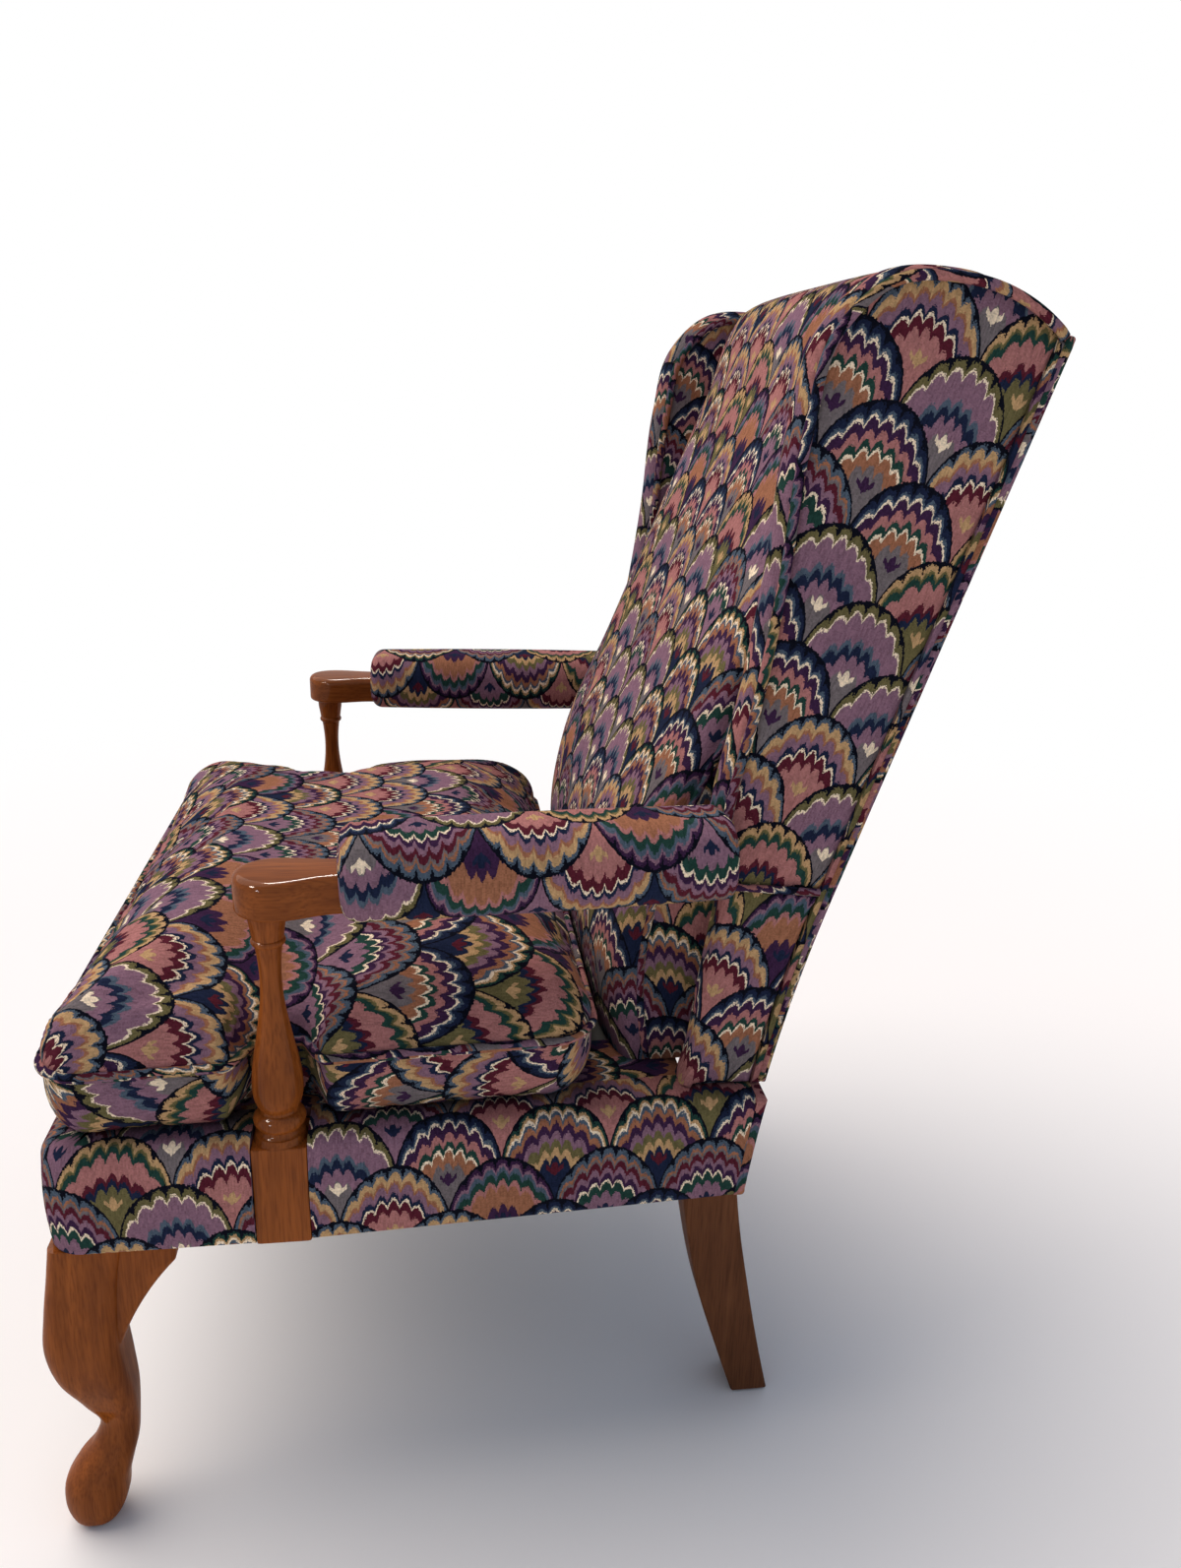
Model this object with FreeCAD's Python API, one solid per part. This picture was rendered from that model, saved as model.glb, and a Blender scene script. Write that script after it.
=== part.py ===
import FreeCAD, Part
import math
import os
from FreeCAD import Vector

# Wingback armchair with exposed wood arms, in millimetres, +Z up, facing -Y.
# The origin is on the floor, midway between the toes and the back, on the middle plane.
# Names ending in _left are on +X, the sitter's left; the right-hand pieces are their mirror images.

# Seat frame
LEG_HEIGHT = 290.0
RAIL_HEIGHT = 80.0
RAIL_THICK = 32.0
RAIL_PADDING = 20.0
RAIL_LIP = 16.0
SEAT_FRONT = -390.0
SEAT_REAR = 194.0
SEAT_HALF_FRONT = 355.0
SEAT_HALF_REAR = 333.0
SEAT_CORNER = 30.0
RAIL_ROLL = 12.0
REAR_RAIL_THICK = 30.0
CORNER_BLOCK = 68.0
DUST_COVER_THICK = 2.0
SEAT_GAP = 0.3
OVERRUN = 1.0

# Seat webbing and deck
WEB_WIDTH = 50.0
WEB_THICK = 2.0
WEB_BEARING = 14.0
WEBS_ACROSS = (-280.0, -140.0, -50.0, 40.0)
WEBS_ALONG = (-200.0, -100.0, 0.0, 100.0, 200.0)

# Front legs: each row is height, front edge, rear edge, corner radius
LEG_ROWS = (
    (3.0, -394.0, -366.0, 11.0),
    (9.0, -401.0, -359.0, 18.0),
    (24.0, -406.0, -353.0, 24.0),
    (40.0, -405.0, -351.0, 25.0),
    (56.0, -396.0, -347.0, 22.0),
    (76.0, -379.5, -342.0, 16.5),
    (96.0, -372.5, -340.0, 14.5),
    (158.0, -399.0, -341.5, 17.0),
    (190.0, -404.5, -343.5, 17.0),
    (260.0, -395.5, -337.0, 12.0),
    (LEG_HEIGHT, -391.0, -332.0, 9.0),
)
LEG_INSET = 6.0
LEG_SPLAY = 0.6
EAR_THICK = 24.0
EAR_REACH = 50.0
EAR_DROP = 98.0
EAR_EDGE = 22.0
EAR_EDGE_SLANT = 2.0
EAR_HOLLOW = (25.0, 61.0)
EAR_LAP = 8.0
EAR_INSET = 4.0

# Rear legs: each row is height, front edge, rear edge
REAR_LEG_INSET = 113.0
REAR_LEG_WIDTH = 45.0
REAR_LEG_ROWS = (
    (3.0, 215.0, 252.0),
    (60.0, 196.0, 239.0),
    (125.0, 176.0, 226.0),
    (205.0, 160.0, 212.0),
    (LEG_HEIGHT, 150.0, 203.0),
)

# Bolts, screws and glides
BOLT_RADIUS = 4.0
BOLT_REACH = 55.0
GLIDE_RADIUS = 9.0
GLIDE_THICK = 3.0
SCREW_RADIUS = 2.5
SCREW_HEAD_RADIUS = 5.0
SCREW_HEAD_THICK = 3.0
SCREW_LENGTH = 42.0

ARM_BOTTOM = 580.5

# Arm posts: the turned profile is a run of arcs and straight steps, each point a height and a radius
POST_Y = -201.0
POST_BLOCK = 44.4
POST_BLOCK_TOP = 379.0
POST_BLOCK_EDGE = 1.2
POST_PROFILE = (
    ((379.0, 21.6), (384.0, 20.0)),
    ((384.0, 20.0), (389.0, 16.4)),
    ((389.0, 16.4), (393.0, 20.3)),
    ((393.0, 20.3), (400.0, 20.3)),
    ((400.0, 20.3), (404.0, 15.6)),
    ((404.0, 15.6), (406.0, 15.0)),
    ((406.0, 15.0), (420.0, 20.0), (447.0, 18.5)),
    ((447.0, 18.5), (481.0, 12.4), (515.0, 8.5)),
    ((515.0, 8.5), (533.0, 8.9), (550.0, 10.8)),
    ((550.0, 10.8), (552.5, 13.2)),
    ((552.5, 13.2), (556.0, 12.2)),
    ((556.0, 12.2), (571.0, 14.4)),
    ((571.0, 14.4), (ARM_BOTTOM, 14.4)),
)
TENON_RADIUS = 8.0
TENON_LENGTH = 18.0

# Arms
ARM_THICK = 31.5
ARM_TIP = 24.0
ARM_PADDLE_HALF = 31.0
ARM_WAIST_HALF = 22.5
ARM_PADDLE_END = 8.0
ARM_WAIST_START = 54.0
ARM_SHOULDER_FULLNESS = 0.8
ARM_TOP_ROUND = 7.0
ARM_REAR_INSET = 1.0
ARM_BOLT_INSET = 16.0
ARM_BOLT_LENGTH = 90.0

# Arm pads
PAD_FRONT = -145.0
PAD_REAR = 163.7
PAD_HALF = 43.0
PAD_TOP = 641.0
PAD_BOTTOM = 573.0
PAD_ROUND = 29.0
PAD_END_ROUND = 14.0
PAD_FRONT_SHARES = (0.05, 0.3, 1.0)
PAD_REAR_SHARES = (1.0, 0.4)

# Back: the rear face is a curve up to the bend and a straight rake above it; the lower rail's two
# heights are above the seat
BACK_BEND = 567.0
BACK_BEND_Y = 258.0
BACK_RAKE = 0.335
BACK_PANEL_THICK = 10.0
BACK_INSET = 24.0
BACK_PANEL_TOP = 1006.0
BACK_POST_WIDTH = 35.7
BACK_POST_DEPTH = 40.0
BACK_POST_TOP = 985.0
CREST_RAIL_HEIGHT = 60.0
LOWER_BACK_RAIL = (24.0, 64.0)
STRAP_COUNT = 5
STRAP_HEIGHT = 50.0
STRAP_THICK = 2.0
STRAP_BEARING = 28.5
STRAP_FIRST = 500.0
STRAP_SPACING = 96.0

# Wings: rows are y, z and the way the padded band swells there
WING_THICK = 50.0
WING_PANEL_THICK = 8.0
WING_FRAME_INSET = 8.0
WING_FRAME_WIDTH = 40.0
WING_FRAME_REACH = 32.0
STILE_LAP = 8.0
WING_SEAM_FRONT = 576.0
WING_SEAM_REAR = 567.0
WING_ROWS = (
    (164.0, 576.0, -1.0, 0.1),
    (167.5, 640.0, -1.0, 0.0),
    (185.0, 727.0, -1.0, 0.1),
    (200.0, 830.0, -1.0, 0.1),
    (211.0, 940.0, -1.0, 0.2),
    (228.0, 1008.0, -0.75, 0.65),
    (266.0, 1039.5, -0.2, 1.0),
    (315.0, 1041.5, 0.0, 1.0),
    (368.0, 1029.0, 0.2, 1.0),
)
WING_REAR_TOP = 1003.0
WING_REAR_BULGE = 3.0
WING_BAND_SWELL = 12.0
WING_BAND_FALL = 4.0
WING_BAND_STEPS = 5

# Side panels under the arms
SIDE_PANEL_THICK = 27.7
SIDE_PANEL_FRONT_TOP = (164.0, 560.0)
SIDE_PANEL_FRONT_MIDDLE = (152.0, 475.0)
SIDE_PANEL_FRONT_FOOT = 137.0
SIDE_PANEL_ROUND = 8.0
STILE_FRONT = 172.0

# Back cushion: points of its side view in the middle, each y, z and the shares it takes of the
# draw-in and of the drop towards the ends
CUSHION_FOOT_Y = 78.0
CUSHION_LUMBAR = (68.5, 474.0, 1.0, 0.0)
CUSHION_WAIST = (82.0, 560.0, 1.0, 0.0)
CUSHION_SHOULDER = (255.0, 985.0, 1.0, 0.0)
CUSHION_CREST_FRONT = (271.0, 1038.0, 0.8, 0.7)
CUSHION_CREST = (312.0, 1065.0, 0.4, 1.0)
CUSHION_CREST_REAR = (362.0, 1050.0, 0.0, 0.7)
CUSHION_NAPE_Z = 1006.0
CUSHION_DRAW_IN = 40.0
CUSHION_DROP = 22.0
CUSHION_FULLNESS = 0.5
CUSHION_STEPS = 5

# Seat cushion: plan at its welt, the heights and draw-ins above and below the welt, the post notches
CUSHION_FRONT = -386.0
CUSHION_REAR = 60.0
CUSHION_INSET_FRONT = 6.0
CUSHION_INSET_REAR = 9.0
CUSHION_WELT_HEIGHT = 62.0
CUSHION_CROWN = 68.0
CUSHION_CROWN_INSET = 130.0
CUSHION_UNDER_INSET = 30.0
CUSHION_CORNER = 42.0
CUSHION_LEVELS = 6
CROWN_FULLNESS = 0.75
NOTCH_CLEARANCE = 7.0
NOTCH_CORNER = 10.0

RAIL_TOP = LEG_HEIGHT + RAIL_HEIGHT
SEAT_TOP = RAIL_TOP + RAIL_LIP
POST_X = SEAT_HALF_FRONT - POST_BLOCK / 2
LEG_OUTER = SEAT_HALF_FRONT - LEG_INSET
REAR_LEG_INNER = SEAT_HALF_REAR - REAR_LEG_INSET
BACK_PANEL_HALF = SEAT_HALF_REAR - BACK_INSET
WING_OUTER = BACK_PANEL_HALF
WING_INNER = WING_OUTER - WING_THICK
WING_FRAME_INNER = WING_OUTER - WING_FRAME_REACH
SIDE_PANEL_INNER = WING_OUTER - SIDE_PANEL_THICK
BACK_POST_INNER = WING_FRAME_INNER - SEAT_GAP - BACK_POST_WIDTH
CUSHION_HALF = WING_INNER - SEAT_GAP
CUSHION_HALF_FRONT = SEAT_HALF_FRONT - CUSHION_INSET_FRONT
CUSHION_HALF_REAR = SEAT_HALF_REAR - CUSHION_INSET_REAR
UP = Vector(0, 0, 1)
ACROSS = Vector(1, 0, 0)


# Plain helpers

def seat_half(y):
    """Half width of the covered seat: constant to the arm post, then tapering to the rear."""
    share = max(0.0, (y - POST_Y) / (SEAT_REAR - POST_Y))
    return SEAT_HALF_FRONT + (SEAT_HALF_REAR - SEAT_HALF_FRONT) * share


def box(x, y, z):
    """Box between the two values of each pair."""
    size = (x[1] - x[0], y[1] - y[0], z[1] - z[0])
    return Part.makeBox(*size, Vector(x[0], y[0], z[0]))


def plan_prism(points, low, high):
    """Upright prism over a polygon drawn in plan."""
    corners = [Vector(x, y, low) for x, y in points]
    face = Part.Face(Part.makePolygon(corners + corners[:1]))
    return face.extrude(UP * (high - low))


def side_prism(edges, inner, outer):
    """Prism of a closed side view, whose edges lie at x = 0, between two distances from the middle."""
    face = Part.Face(Part.Wire(Part.sortEdges(edges)[0]))
    face.translate(ACROSS * inner)
    return face.extrude(ACROSS * (outer - inner))


def side_point(y, z):
    """Point of a side view."""
    return Vector(0, y, z)


def line(start, end):
    return Part.LineSegment(start, end).toShape()


def arc(start, middle, end):
    return Part.Arc(start, middle, end).toShape()


def rounded_outline(points, radii, z):
    """Closed plan outline through points in order, each corner turned by an arc of its radius."""
    count = len(points)
    starts, middles, ends = [], [], []
    for i in range(count):
        corner = Vector(points[i][0], points[i][1], z)
        before = Vector(points[i - 1][0], points[i - 1][1], z) - corner
        after = Vector(points[(i + 1) % count][0], points[(i + 1) % count][1], z) - corner
        before.normalize()
        after.normalize()
        half_turn = before.getAngle(after) / 2
        reach = radii[i] / math.tan(half_turn)
        middle_way = before + after
        middle_way.normalize()
        starts.append(corner + before * reach)
        ends.append(corner + after * reach)
        middles.append(corner + middle_way * (radii[i] / math.sin(half_turn) - radii[i]))
    edges = []
    for i in range(count):
        edges.append(arc(starts[i], middles[i], ends[i]))
        edges.append(line(ends[i], starts[(i + 1) % count]))
    return Part.Wire(edges)


def loft(wires, ruled=False):
    return Part.makeLoft(wires, True, ruled)


def mirrored(shape):
    """The same piece on the other side of the chair."""
    return shape.mirror(Vector(0, 0, 0), ACROSS)


def cylinder(base, direction, radius, length):
    return Part.makeCylinder(radius, length, base, direction)


def rear_y(z):
    """Depth of the back's rear face at a height: a parabola up to the bend, then a straight rake."""
    above = z - BACK_BEND
    if above >= 0:
        return BACK_BEND_Y + BACK_RAKE * above
    rise = BACK_BEND - LEG_HEIGHT
    curve = (BACK_RAKE * rise - (BACK_BEND_Y - SEAT_REAR)) / rise ** 2
    return BACK_BEND_Y + BACK_RAKE * above + curve * above ** 2


def rear_edges(inset, low, high, x=0.0):
    """Edges that follow the rear face at an inset, from low to high."""
    def at(z):
        return Vector(x, rear_y(z) - inset, z)
    edges = []
    if low < BACK_BEND:
        top = min(high, BACK_BEND)
        edges.append(arc(at(low), at((low + top) / 2), at(top)))
    if high > BACK_BEND:
        edges.append(line(at(max(low, BACK_BEND)), at(high)))
    return edges


def raked_panel(rear_inset, front_inset, low, high, inner, outer):
    """Panel that follows the rear face between two insets and two heights."""
    rear = rear_edges(rear_inset, low, high)
    front = rear_edges(front_inset, low, high)
    foot = line(front[0].Vertexes[0].Point, rear[0].Vertexes[0].Point)
    head = line(front[-1].Vertexes[-1].Point, rear[-1].Vertexes[-1].Point)
    return side_prism(rear + front + [foot, head], inner, outer)


# Seat frame

def seat_band(outer_inset, inner_inset, front, rear):
    """Plan of a left-hand strip between two insets from the seat's side, bent at the arm post."""
    stations = [front] + [POST_Y] * (front < POST_Y < rear) + [rear]
    outside = [(seat_half(y) - outer_inset, y) for y in stations]
    inside = [(seat_half(y) - inner_inset, y) for y in reversed(stations)]
    return outside + inside


RAIL_INNER = RAIL_PADDING + RAIL_THICK
FRONT_RAIL = (SEAT_FRONT + RAIL_PADDING, SEAT_FRONT + RAIL_INNER)
RAIL_END = SEAT_REAR - BACK_PANEL_THICK - SEAT_GAP
POST_REAR_INSET = BACK_PANEL_THICK + SEAT_GAP
POST_FRONT_INSET = BACK_PANEL_THICK + BACK_POST_DEPTH
STRAP_FRONT_INSET = POST_FRONT_INSET + SEAT_GAP + STRAP_THICK
REAR_RAIL = (
    rear_y(LEG_HEIGHT) - POST_FRONT_INSET - REAR_RAIL_THICK,
    rear_y(LEG_HEIGHT) - POST_FRONT_INSET,
)
LEG_BOLT_X = SEAT_HALF_FRONT - RAIL_PADDING - RAIL_THICK / 2
LEG_BOLT_Y = SEAT_FRONT + RAIL_PADDING + RAIL_THICK / 2


def post_notch():
    """Room that the square block of the left arm post takes out of the seat rail and its cover."""
    half = POST_BLOCK / 2
    return box((POST_X - half, POST_X + half), (POST_Y - half, POST_Y + half), (LEG_HEIGHT, SEAT_TOP))


def post_screw():
    """Screw from the inside of the side rail into the post block, its head on the rail."""
    middle = LEG_HEIGHT + RAIL_HEIGHT / 2
    rail_face = SEAT_HALF_FRONT - RAIL_INNER
    head = cylinder(Vector(rail_face, POST_Y, middle), -ACROSS, SCREW_HEAD_RADIUS, SCREW_HEAD_THICK)
    shank = cylinder(Vector(rail_face, POST_Y, middle), ACROSS, SCREW_RADIUS, SCREW_LENGTH)
    return head.fuse(shank)


def leg_bolt():
    """Bolt down from the side rail into the left front leg."""
    return cylinder(Vector(LEG_BOLT_X, LEG_BOLT_Y, LEG_HEIGHT - BOLT_REACH), UP, BOLT_RADIUS, 2 * BOLT_REACH)


def side_seat_rail():
    rail = plan_prism(seat_band(RAIL_PADDING, RAIL_INNER, FRONT_RAIL[0], RAIL_END), LEG_HEIGHT, RAIL_TOP)
    return rail.cut(post_notch()).cut(post_screw()).cut(leg_bolt())


def front_seat_rail():
    half = SEAT_HALF_FRONT - RAIL_INNER
    return box((-half, half), FRONT_RAIL, (LEG_HEIGHT, RAIL_TOP))


def rear_seat_rail():
    ends = [(seat_half(y) - RAIL_INNER, y) for y in REAR_RAIL]
    far_ends = [(-x, y) for x, y in reversed(ends)]
    return plan_prism(ends + far_ends, LEG_HEIGHT, RAIL_TOP)


def corner_blocks():
    """Glued triangular blocks in the four inner corners of the seat frame."""
    front_x = SEAT_HALF_FRONT - RAIL_INNER
    front_y = FRONT_RAIL[1]
    front = plan_prism(
        [(front_x, front_y), (front_x, front_y + CORNER_BLOCK), (front_x - CORNER_BLOCK, front_y)],
        LEG_HEIGHT, RAIL_TOP - RAIL_LIP)
    rear_corner = REAR_RAIL[0]
    along = rear_corner - CORNER_BLOCK
    rear = plan_prism(
        [(seat_half(rear_corner) - RAIL_INNER, rear_corner),
         (seat_half(rear_corner) - RAIL_INNER - CORNER_BLOCK, rear_corner),
         (seat_half(along) - RAIL_INNER, along)],
        LEG_HEIGHT, RAIL_TOP - RAIL_LIP)
    return [front, rear, mirrored(front), mirrored(rear)]


def front_rail_cover():
    """Stuffed cover of the front rail, wrapped round both front corners as far as the arm posts."""
    half = SEAT_HALF_FRONT
    rear = POST_Y - POST_BLOCK / 2
    cover = box((-half, half), (SEAT_FRONT, rear), (LEG_HEIGHT, SEAT_TOP))
    corners = [e for e in cover.Edges if e.BoundBox.ZLength > OVERRUN and e.BoundBox.YMax < rear - OVERRUN]
    cover = cover.makeFillet(SEAT_CORNER, corners)
    upper = [e for e in cover.Edges if e.BoundBox.ZMin > SEAT_TOP - OVERRUN and e.BoundBox.YMin < rear - OVERRUN]
    cover = cover.makeFillet(RAIL_ROLL, upper)
    frame_room = box(
        (-half + RAIL_PADDING, half - RAIL_PADDING),
        (SEAT_FRONT + RAIL_PADDING, rear + OVERRUN), (LEG_HEIGHT, RAIL_TOP))
    seat_room = box(
        (-half + RAIL_INNER, half - RAIL_INNER),
        (SEAT_FRONT + RAIL_INNER, rear + OVERRUN), (LEG_HEIGHT, SEAT_TOP))
    return without_webs(cover.cut(frame_room).cut(seat_room))


def side_rail_cover():
    """Stuffed cover of the left side rail, from the arm post to the rear cover, whose slope it follows."""
    front = POST_Y + POST_BLOCK / 2
    rear = rear_y(SEAT_TOP)
    cover = plan_prism(seat_band(0, RAIL_INNER, front, rear), LEG_HEIGHT, SEAT_TOP)
    narrow = min(seat_half(front), seat_half(rear))
    outer = [e for e in cover.Edges
             if e.BoundBox.ZMin > SEAT_TOP - OVERRUN and e.BoundBox.XMin > narrow - OVERRUN]
    cover = cover.makeFillet(RAIL_ROLL, outer)
    cover = cover.cut(plan_prism(seat_band(RAIL_PADDING, RAIL_INNER, front, rear), LEG_HEIGHT, RAIL_TOP))
    behind = raked_panel(-BACK_POST_DEPTH, BACK_PANEL_THICK + SEAT_GAP, LEG_HEIGHT, SEAT_TOP, 0, SEAT_HALF_FRONT)
    return without_webs(cover.cut(behind))


def webs_across():
    """Straps from side rail to side rail, tacked on top of both."""
    straps = []
    for y in WEBS_ACROSS:
        reach = seat_half(y) - RAIL_INNER + WEB_BEARING
        straps.append(box((-reach, reach), (y - WEB_WIDTH / 2, y + WEB_WIDTH / 2), (RAIL_TOP, RAIL_TOP + WEB_THICK)))
    return straps


def webs_along():
    """Straps from the front rail to the rear rail, lying on the ones across."""
    ends = (FRONT_RAIL[1] - WEB_BEARING, REAR_RAIL[0] + WEB_BEARING)
    low = RAIL_TOP + WEB_THICK
    return [box((x - WEB_WIDTH / 2, x + WEB_WIDTH / 2), ends, (low, low + WEB_THICK)) for x in WEBS_ALONG]


def without_webs(piece):
    for web in webs_across() + webs_along():
        piece = piece.cut(web)
    return piece


def seat_deck():
    """Padded deck on the webbing, filling the seat frame up to the top of the rail covers."""
    front = FRONT_RAIL[1] + SEAT_GAP
    rear = REAR_RAIL[1] - SEAT_GAP
    near = [(seat_half(y) - RAIL_INNER - SEAT_GAP, y) for y in (front, POST_Y, rear)]
    far = [(-x, y) for x, y in reversed(near)]
    return plan_prism(near + far, RAIL_TOP + 2 * WEB_THICK, SEAT_TOP)


def dust_cover():
    """Thin cloth under the seat frame, cut round the rear legs."""
    front = FRONT_RAIL[1] + SEAT_GAP - RAIL_THICK / 2
    rear = REAR_RAIL[1] + BACK_POST_DEPTH / 2
    inset = RAIL_INNER - RAIL_THICK / 2
    low = LEG_HEIGHT - DUST_COVER_THICK
    near = [(seat_half(y) - inset, y) for y in (front, POST_Y, rear)]
    far = [(-x, y) for x, y in reversed(near)]
    cloth = plan_prism(near + far, low, LEG_HEIGHT)
    rear_leg_room = box(
        (REAR_LEG_INNER - SEAT_GAP, REAR_LEG_INNER + REAR_LEG_WIDTH + SEAT_GAP),
        (REAR_LEG_ROWS[-1][1] - SEAT_GAP, rear + OVERRUN), (low, LEG_HEIGHT))
    front_leg_room = box(
        (LEG_OUTER - 2 * EAR_THICK - EAR_REACH, SEAT_HALF_FRONT),
        (SEAT_FRONT, FRONT_RAIL[1] + EAR_REACH), (low, LEG_HEIGHT))
    for room in (rear_leg_room, front_leg_room):
        cloth = cloth.cut(room).cut(mirrored(room))
    return cloth


# Legs

def leg_section(z, front, rear, radius):
    """Level section of the left cabriole leg, square with rounded corners."""
    outer = LEG_OUTER + LEG_SPLAY * (SEAT_FRONT - front)
    inner = outer - (rear - front)
    return rounded_outline(
        [(outer, front), (inner, front), (inner, rear), (outer, rear)], [radius] * 4, z)


def leg_ear(knee_face):
    """Bracket with a hollow lower curve, drawn as distance along the rail and height, from the knee on."""
    top, start = LEG_HEIGHT, knee_face - EAR_LAP
    end = Vector(start + EAR_REACH, 0, top)
    lip = Vector(start + EAR_REACH - EAR_EDGE_SLANT, 0, top - EAR_EDGE)
    hollow = Vector(start + EAR_HOLLOW[0], 0, top - EAR_HOLLOW[1])
    foot = Vector(start, 0, top - EAR_DROP)
    root = Vector(start - EAR_THICK, 0, top - EAR_DROP)
    cap = Vector(start - EAR_THICK, 0, top)
    edges = [line(cap, end), line(end, lip), arc(lip, hollow, foot), line(foot, root), line(root, cap)]
    return Part.Face(Part.Wire(edges)).extrude(Vector(0, EAR_THICK, 0))


def front_leg():
    """Cabriole leg with a pad foot and an ear along each rail."""
    leg = loft([leg_section(*row) for row in LEG_ROWS], ruled=True)
    knee_front, knee_rear = LEG_ROWS[-1][1:3]
    side_ear = leg_ear(knee_rear)
    side_ear.rotate(Vector(0, 0, 0), UP, 90)
    side_ear.translate(ACROSS * (LEG_OUTER - EAR_INSET))
    knee_inner = LEG_OUTER + LEG_SPLAY * (SEAT_FRONT - knee_front) - (knee_rear - knee_front)
    front_ear = mirrored(leg_ear(-knee_inner))
    front_ear.translate(Vector(0, SEAT_FRONT + EAR_INSET, 0))
    return leg.fuse(side_ear).fuse(front_ear).cut(leg_bolt())


def rear_leg():
    """Sabre leg of square section, spliced to the back post, curving back to the floor."""
    inner, outer = REAR_LEG_INNER, REAR_LEG_INNER + REAR_LEG_WIDTH
    sections = []
    for z, front, rear in REAR_LEG_ROWS:
        corners = [Vector(x, y, z) for x, y in ((outer, front), (inner, front), (inner, rear), (outer, rear))]
        sections.append(Part.makePolygon(corners + corners[:1]))
    return loft(sections)


def glides():
    """Round floor glides, one under each foot."""
    row = LEG_ROWS[0]
    outer = LEG_OUTER + LEG_SPLAY * (SEAT_FRONT - row[1])
    front = Vector(outer - (row[2] - row[1]) / 2, (row[1] + row[2]) / 2, 0)
    rear = Vector(REAR_LEG_INNER + REAR_LEG_WIDTH / 2, sum(REAR_LEG_ROWS[0][1:]) / 2, 0)
    discs = [cylinder(place, UP, GLIDE_RADIUS, GLIDE_THICK) for place in (front, rear)]
    return discs + [mirrored(disc) for disc in discs]


# Arms

def arm_post():
    """Square block let into the rail, turned cove, bead, vase and collar, and a tenon into the arm."""
    half = POST_BLOCK / 2
    block = box((-half, half), (-half, half), (LEG_HEIGHT, POST_BLOCK_TOP))
    upright = [e for e in block.Edges if e.BoundBox.ZLength > OVERRUN]
    block = block.makeFillet(POST_BLOCK_EDGE, upright)
    tenon_top = ARM_BOTTOM + TENON_LENGTH
    curves = []
    for step in POST_PROFILE:
        points = [Vector(radius, 0, z) for z, radius in step]
        curves.append(arc(*points) if len(points) == 3 else line(*points))
    collar, shoulder = curves[-1].Vertexes[-1].Point, Vector(TENON_RADIUS, 0, ARM_BOTTOM)
    rim, crown = Vector(TENON_RADIUS, 0, tenon_top), Vector(0, 0, tenon_top)
    root = Vector(0, 0, POST_BLOCK_TOP)
    outline = curves + [line(collar, shoulder), line(shoulder, rim), line(rim, crown), line(crown, root),
                        line(root, curves[0].Vertexes[0].Point)]
    turned = Part.Face(Part.Wire(outline)).revolve(Vector(0, 0, 0), UP, 360)
    post = block.fuse(turned)
    post.translate(Vector(POST_X, POST_Y, 0))
    return post.cut(post_screw()).removeSplitter()


ARM_REAR_FACE = STILE_FRONT - SEAT_GAP
STILE_REAR = STILE_FRONT + WING_FRAME_WIDTH
ARM_TURN_IN = math.degrees(math.atan2(POST_X - (WING_OUTER - ARM_REAR_INSET), ARM_REAR_FACE - POST_Y))


def arm_bolt():
    """Bolt through the wing's stile into the end of the arm, along the arm."""
    base = Vector(WING_OUTER - ARM_BOLT_INSET, STILE_REAR - SEAT_GAP, ARM_BOTTOM + ARM_THICK / 2)
    turn = math.radians(ARM_TURN_IN)
    return cylinder(base, Vector(math.sin(turn), -math.cos(turn), 0), BOLT_RADIUS, ARM_BOLT_LENGTH)


def arm_blank():
    """Paddle-ended arm in plan, turned in towards the back, with rounded-over edges."""
    length = (ARM_REAR_FACE - POST_Y) / math.cos(math.radians(ARM_TURN_IN)) + ARM_WAIST_HALF
    tip = Vector(0, -ARM_TIP, 0)
    right, left = Vector(ARM_PADDLE_HALF, ARM_PADDLE_END, 0), Vector(-ARM_PADDLE_HALF, ARM_PADDLE_END, 0)
    half_way = (ARM_PADDLE_END + ARM_WAIST_START) / 2
    shoulder = (ARM_PADDLE_HALF + ARM_WAIST_HALF) / 2 + ARM_SHOULDER_FULLNESS
    waist_right = Vector(ARM_WAIST_HALF, ARM_WAIST_START, 0)
    waist_left = Vector(-ARM_WAIST_HALF, ARM_WAIST_START, 0)
    edges = [
        arc(left, tip, right),
        arc(right, Vector(shoulder, half_way, 0), waist_right),
        line(waist_right, Vector(ARM_WAIST_HALF, length, 0)),
        line(Vector(ARM_WAIST_HALF, length, 0), Vector(-ARM_WAIST_HALF, length, 0)),
        line(Vector(-ARM_WAIST_HALF, length, 0), waist_left),
        arc(waist_left, Vector(-shoulder, half_way, 0), left)]
    arm = Part.Face(Part.Wire(edges)).extrude(UP * ARM_THICK)
    top = [e for e in arm.Edges
           if e.BoundBox.ZMin > ARM_THICK - OVERRUN and e.BoundBox.YMin < length - OVERRUN]
    arm = arm.makeFillet(ARM_TOP_ROUND, top)
    arm.rotate(Vector(0, 0, 0), UP, ARM_TURN_IN)
    arm.translate(Vector(POST_X, POST_Y, ARM_BOTTOM))
    height = (ARM_BOTTOM, ARM_BOTTOM + ARM_THICK)
    beyond = ARM_REAR_FACE + length
    arm = arm.cut(box((0, SEAT_HALF_FRONT), (ARM_REAR_FACE, beyond), height))
    return arm.cut(box((WING_OUTER, SEAT_HALF_FRONT), (PAD_REAR, beyond), height))


def arm():
    tenon = cylinder(Vector(POST_X, POST_Y, ARM_BOTTOM), UP, TENON_RADIUS, TENON_LENGTH)
    return arm_blank().cut(tenon).cut(arm_bolt())


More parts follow.
